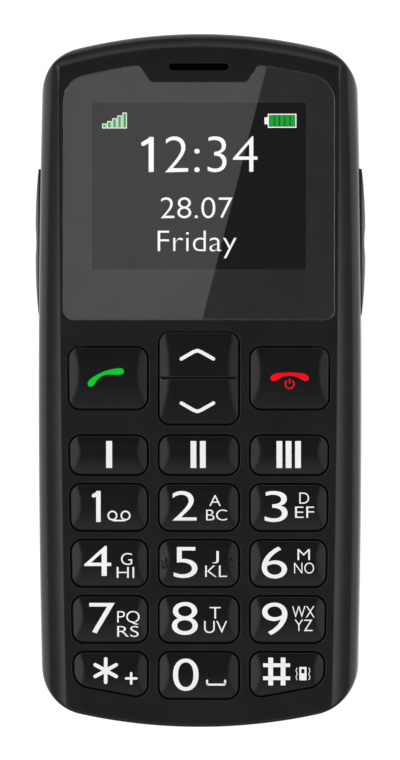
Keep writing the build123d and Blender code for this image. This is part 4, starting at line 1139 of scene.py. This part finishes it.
def world_light():
    """Brightness of the room by its angle from straight up, and by how far it lies towards either end."""
    world = bpy.data.worlds.new("studio")
    scene.world = world
    world.use_nodes = True
    tree = world.node_tree
    place = add_node(tree, "TexCoord", {}).outputs["Generated"]
    up = (0, math.sin(ROOM_TILT), math.cos(ROOM_TILT))
    toward = add_node(tree, "VectorMath", {"operation": "DOT_PRODUCT", 0: place, 1: up}).outputs["Value"]
    stops = [(math.cos(math.radians(angle)), light) for angle, light in ROOM_BY_ANGLE]
    by_angle = add_ramp(tree, toward, stops)
    split = add_node(tree, "SeparateXYZ", {"Vector": place}).outputs["Y"]
    share = add_node(tree, "Math", {"operation": "MULTIPLY_ADD", 0: split, 1: 0.5, 2: 0.5}).outputs["Value"]
    by_end = add_ramp(tree, share, [(0.5 + 0.5 * y, light) for y, light in ROOM_BY_END])
    product = add_node(tree, "Mix", {
        "data_type": "RGBA", "blend_type": "MULTIPLY", "Factor": 1.0, "A": by_angle, "B": by_end,
    })
    set_node(tree, tree.nodes["Background"], {"Color": product.outputs["Result"], "Strength": 1.0})


world_light()


def area_light(name, place, size, power):
    """A square soft box that looks at the phone."""
    lamp = bpy.data.lights.new(name, "AREA")
    lamp.shape = "RECTANGLE"
    lamp.size, lamp.size_y, lamp.energy = size, size, power
    holder = add_object(name, lamp)
    holder.location = place
    holder.rotation_euler = (Vector((0, 0, 0)) - Vector(place)).to_track_quat("-Z", "Y").to_euler()
    return holder


area_light("fill_softbox", (-0.7, 0.5, 1.1), 0.4, 1.5)
ceiling = area_light("ceiling_light", (0, 0, 1.9), 0.9, 11.0)
ceiling.visible_glossy = False
ceiling.visible_transmission = False

# %% Floor and glare card
def sheet_mesh(name, corners, z):
    """A flat four-sided sheet."""
    mesh = bpy.data.meshes.new(name)
    mesh.from_pydata([(x, y, z) for x, y in corners], [], [(0, 1, 2, 3)])
    sheet = add_object(name, mesh)
    return sheet


floor_material = finish("studio_floor", 0.12, 0.9, grain=2.0, relief=5, mottle=0.01)
tree = floor_material.node_tree
path_kind = add_node(tree, "LightPath", {}).outputs
seen = path_kind["Is Camera Ray"]
for kind in ("Is Transmission Ray", "Is Glossy Ray"):
    seen = add_node(tree, "Math", {"operation": "MAXIMUM", 0: seen, 1: path_kind[kind]}).outputs["Value"]
pale = add_node(tree, "BsdfDiffuse", {"Color": (0.22, 0.22, 0.22, 1)}).outputs["BSDF"]
white = add_node(tree, "Emission", {"Strength": 0.94}).outputs["Emission"]
bright = add_node(tree, "AddShader", {0: pale, 1: white}).outputs["Shader"]
plain = tree.nodes["Principled BSDF"].outputs["BSDF"]
mix = add_node(tree, "MixShader", {"Fac": seen, 1: plain, 2: bright}).outputs["Shader"]
set_node(tree, tree.nodes["Material Output"], {"Surface": mix})
FLOOR_Z, HALF = -0.0002, 1.5
floor = sheet_mesh("floor", [(-HALF, -HALF), (HALF, -HALF), (HALF, HALF), (-HALF, HALF)], FLOOR_Z)
floor.data.materials.append(floor_material)

CARD_HEIGHT = 2.0
glare_on_window = [(-27, 8), (0.0, 8), (12.5, 57), (-27, 57)]


def mirrored(x, y):
    """Where the lens sees a point of the window reflected: the ray goes on, turned upwards, to the card."""
    x, y = x * MM, y * MM
    carry = (CARD_HEIGHT - pane_top * MM) / (camera.location.z - pane_top * MM)
    return x + (x - camera.location.x) * carry, y + (y - camera.location.y) * carry


card_material = finish("glare_card", 0.0, 1.0)
set_shader(card_material, {"Emission Color": (1, 1, 1, 1), "Emission Strength": 0.38})
card = sheet_mesh("glare_card", [mirrored(*corner) for corner in glare_on_window][::-1], CARD_HEIGHT)
card.data.materials.append(card_material)
card.visible_camera = False
card.visible_diffuse = False
card.visible_shadow = False

# %% [markdown]
# ## Finish
# The last step prints the frame's bounds.

# %% Frame bounds
print("frame", cad_bounds)
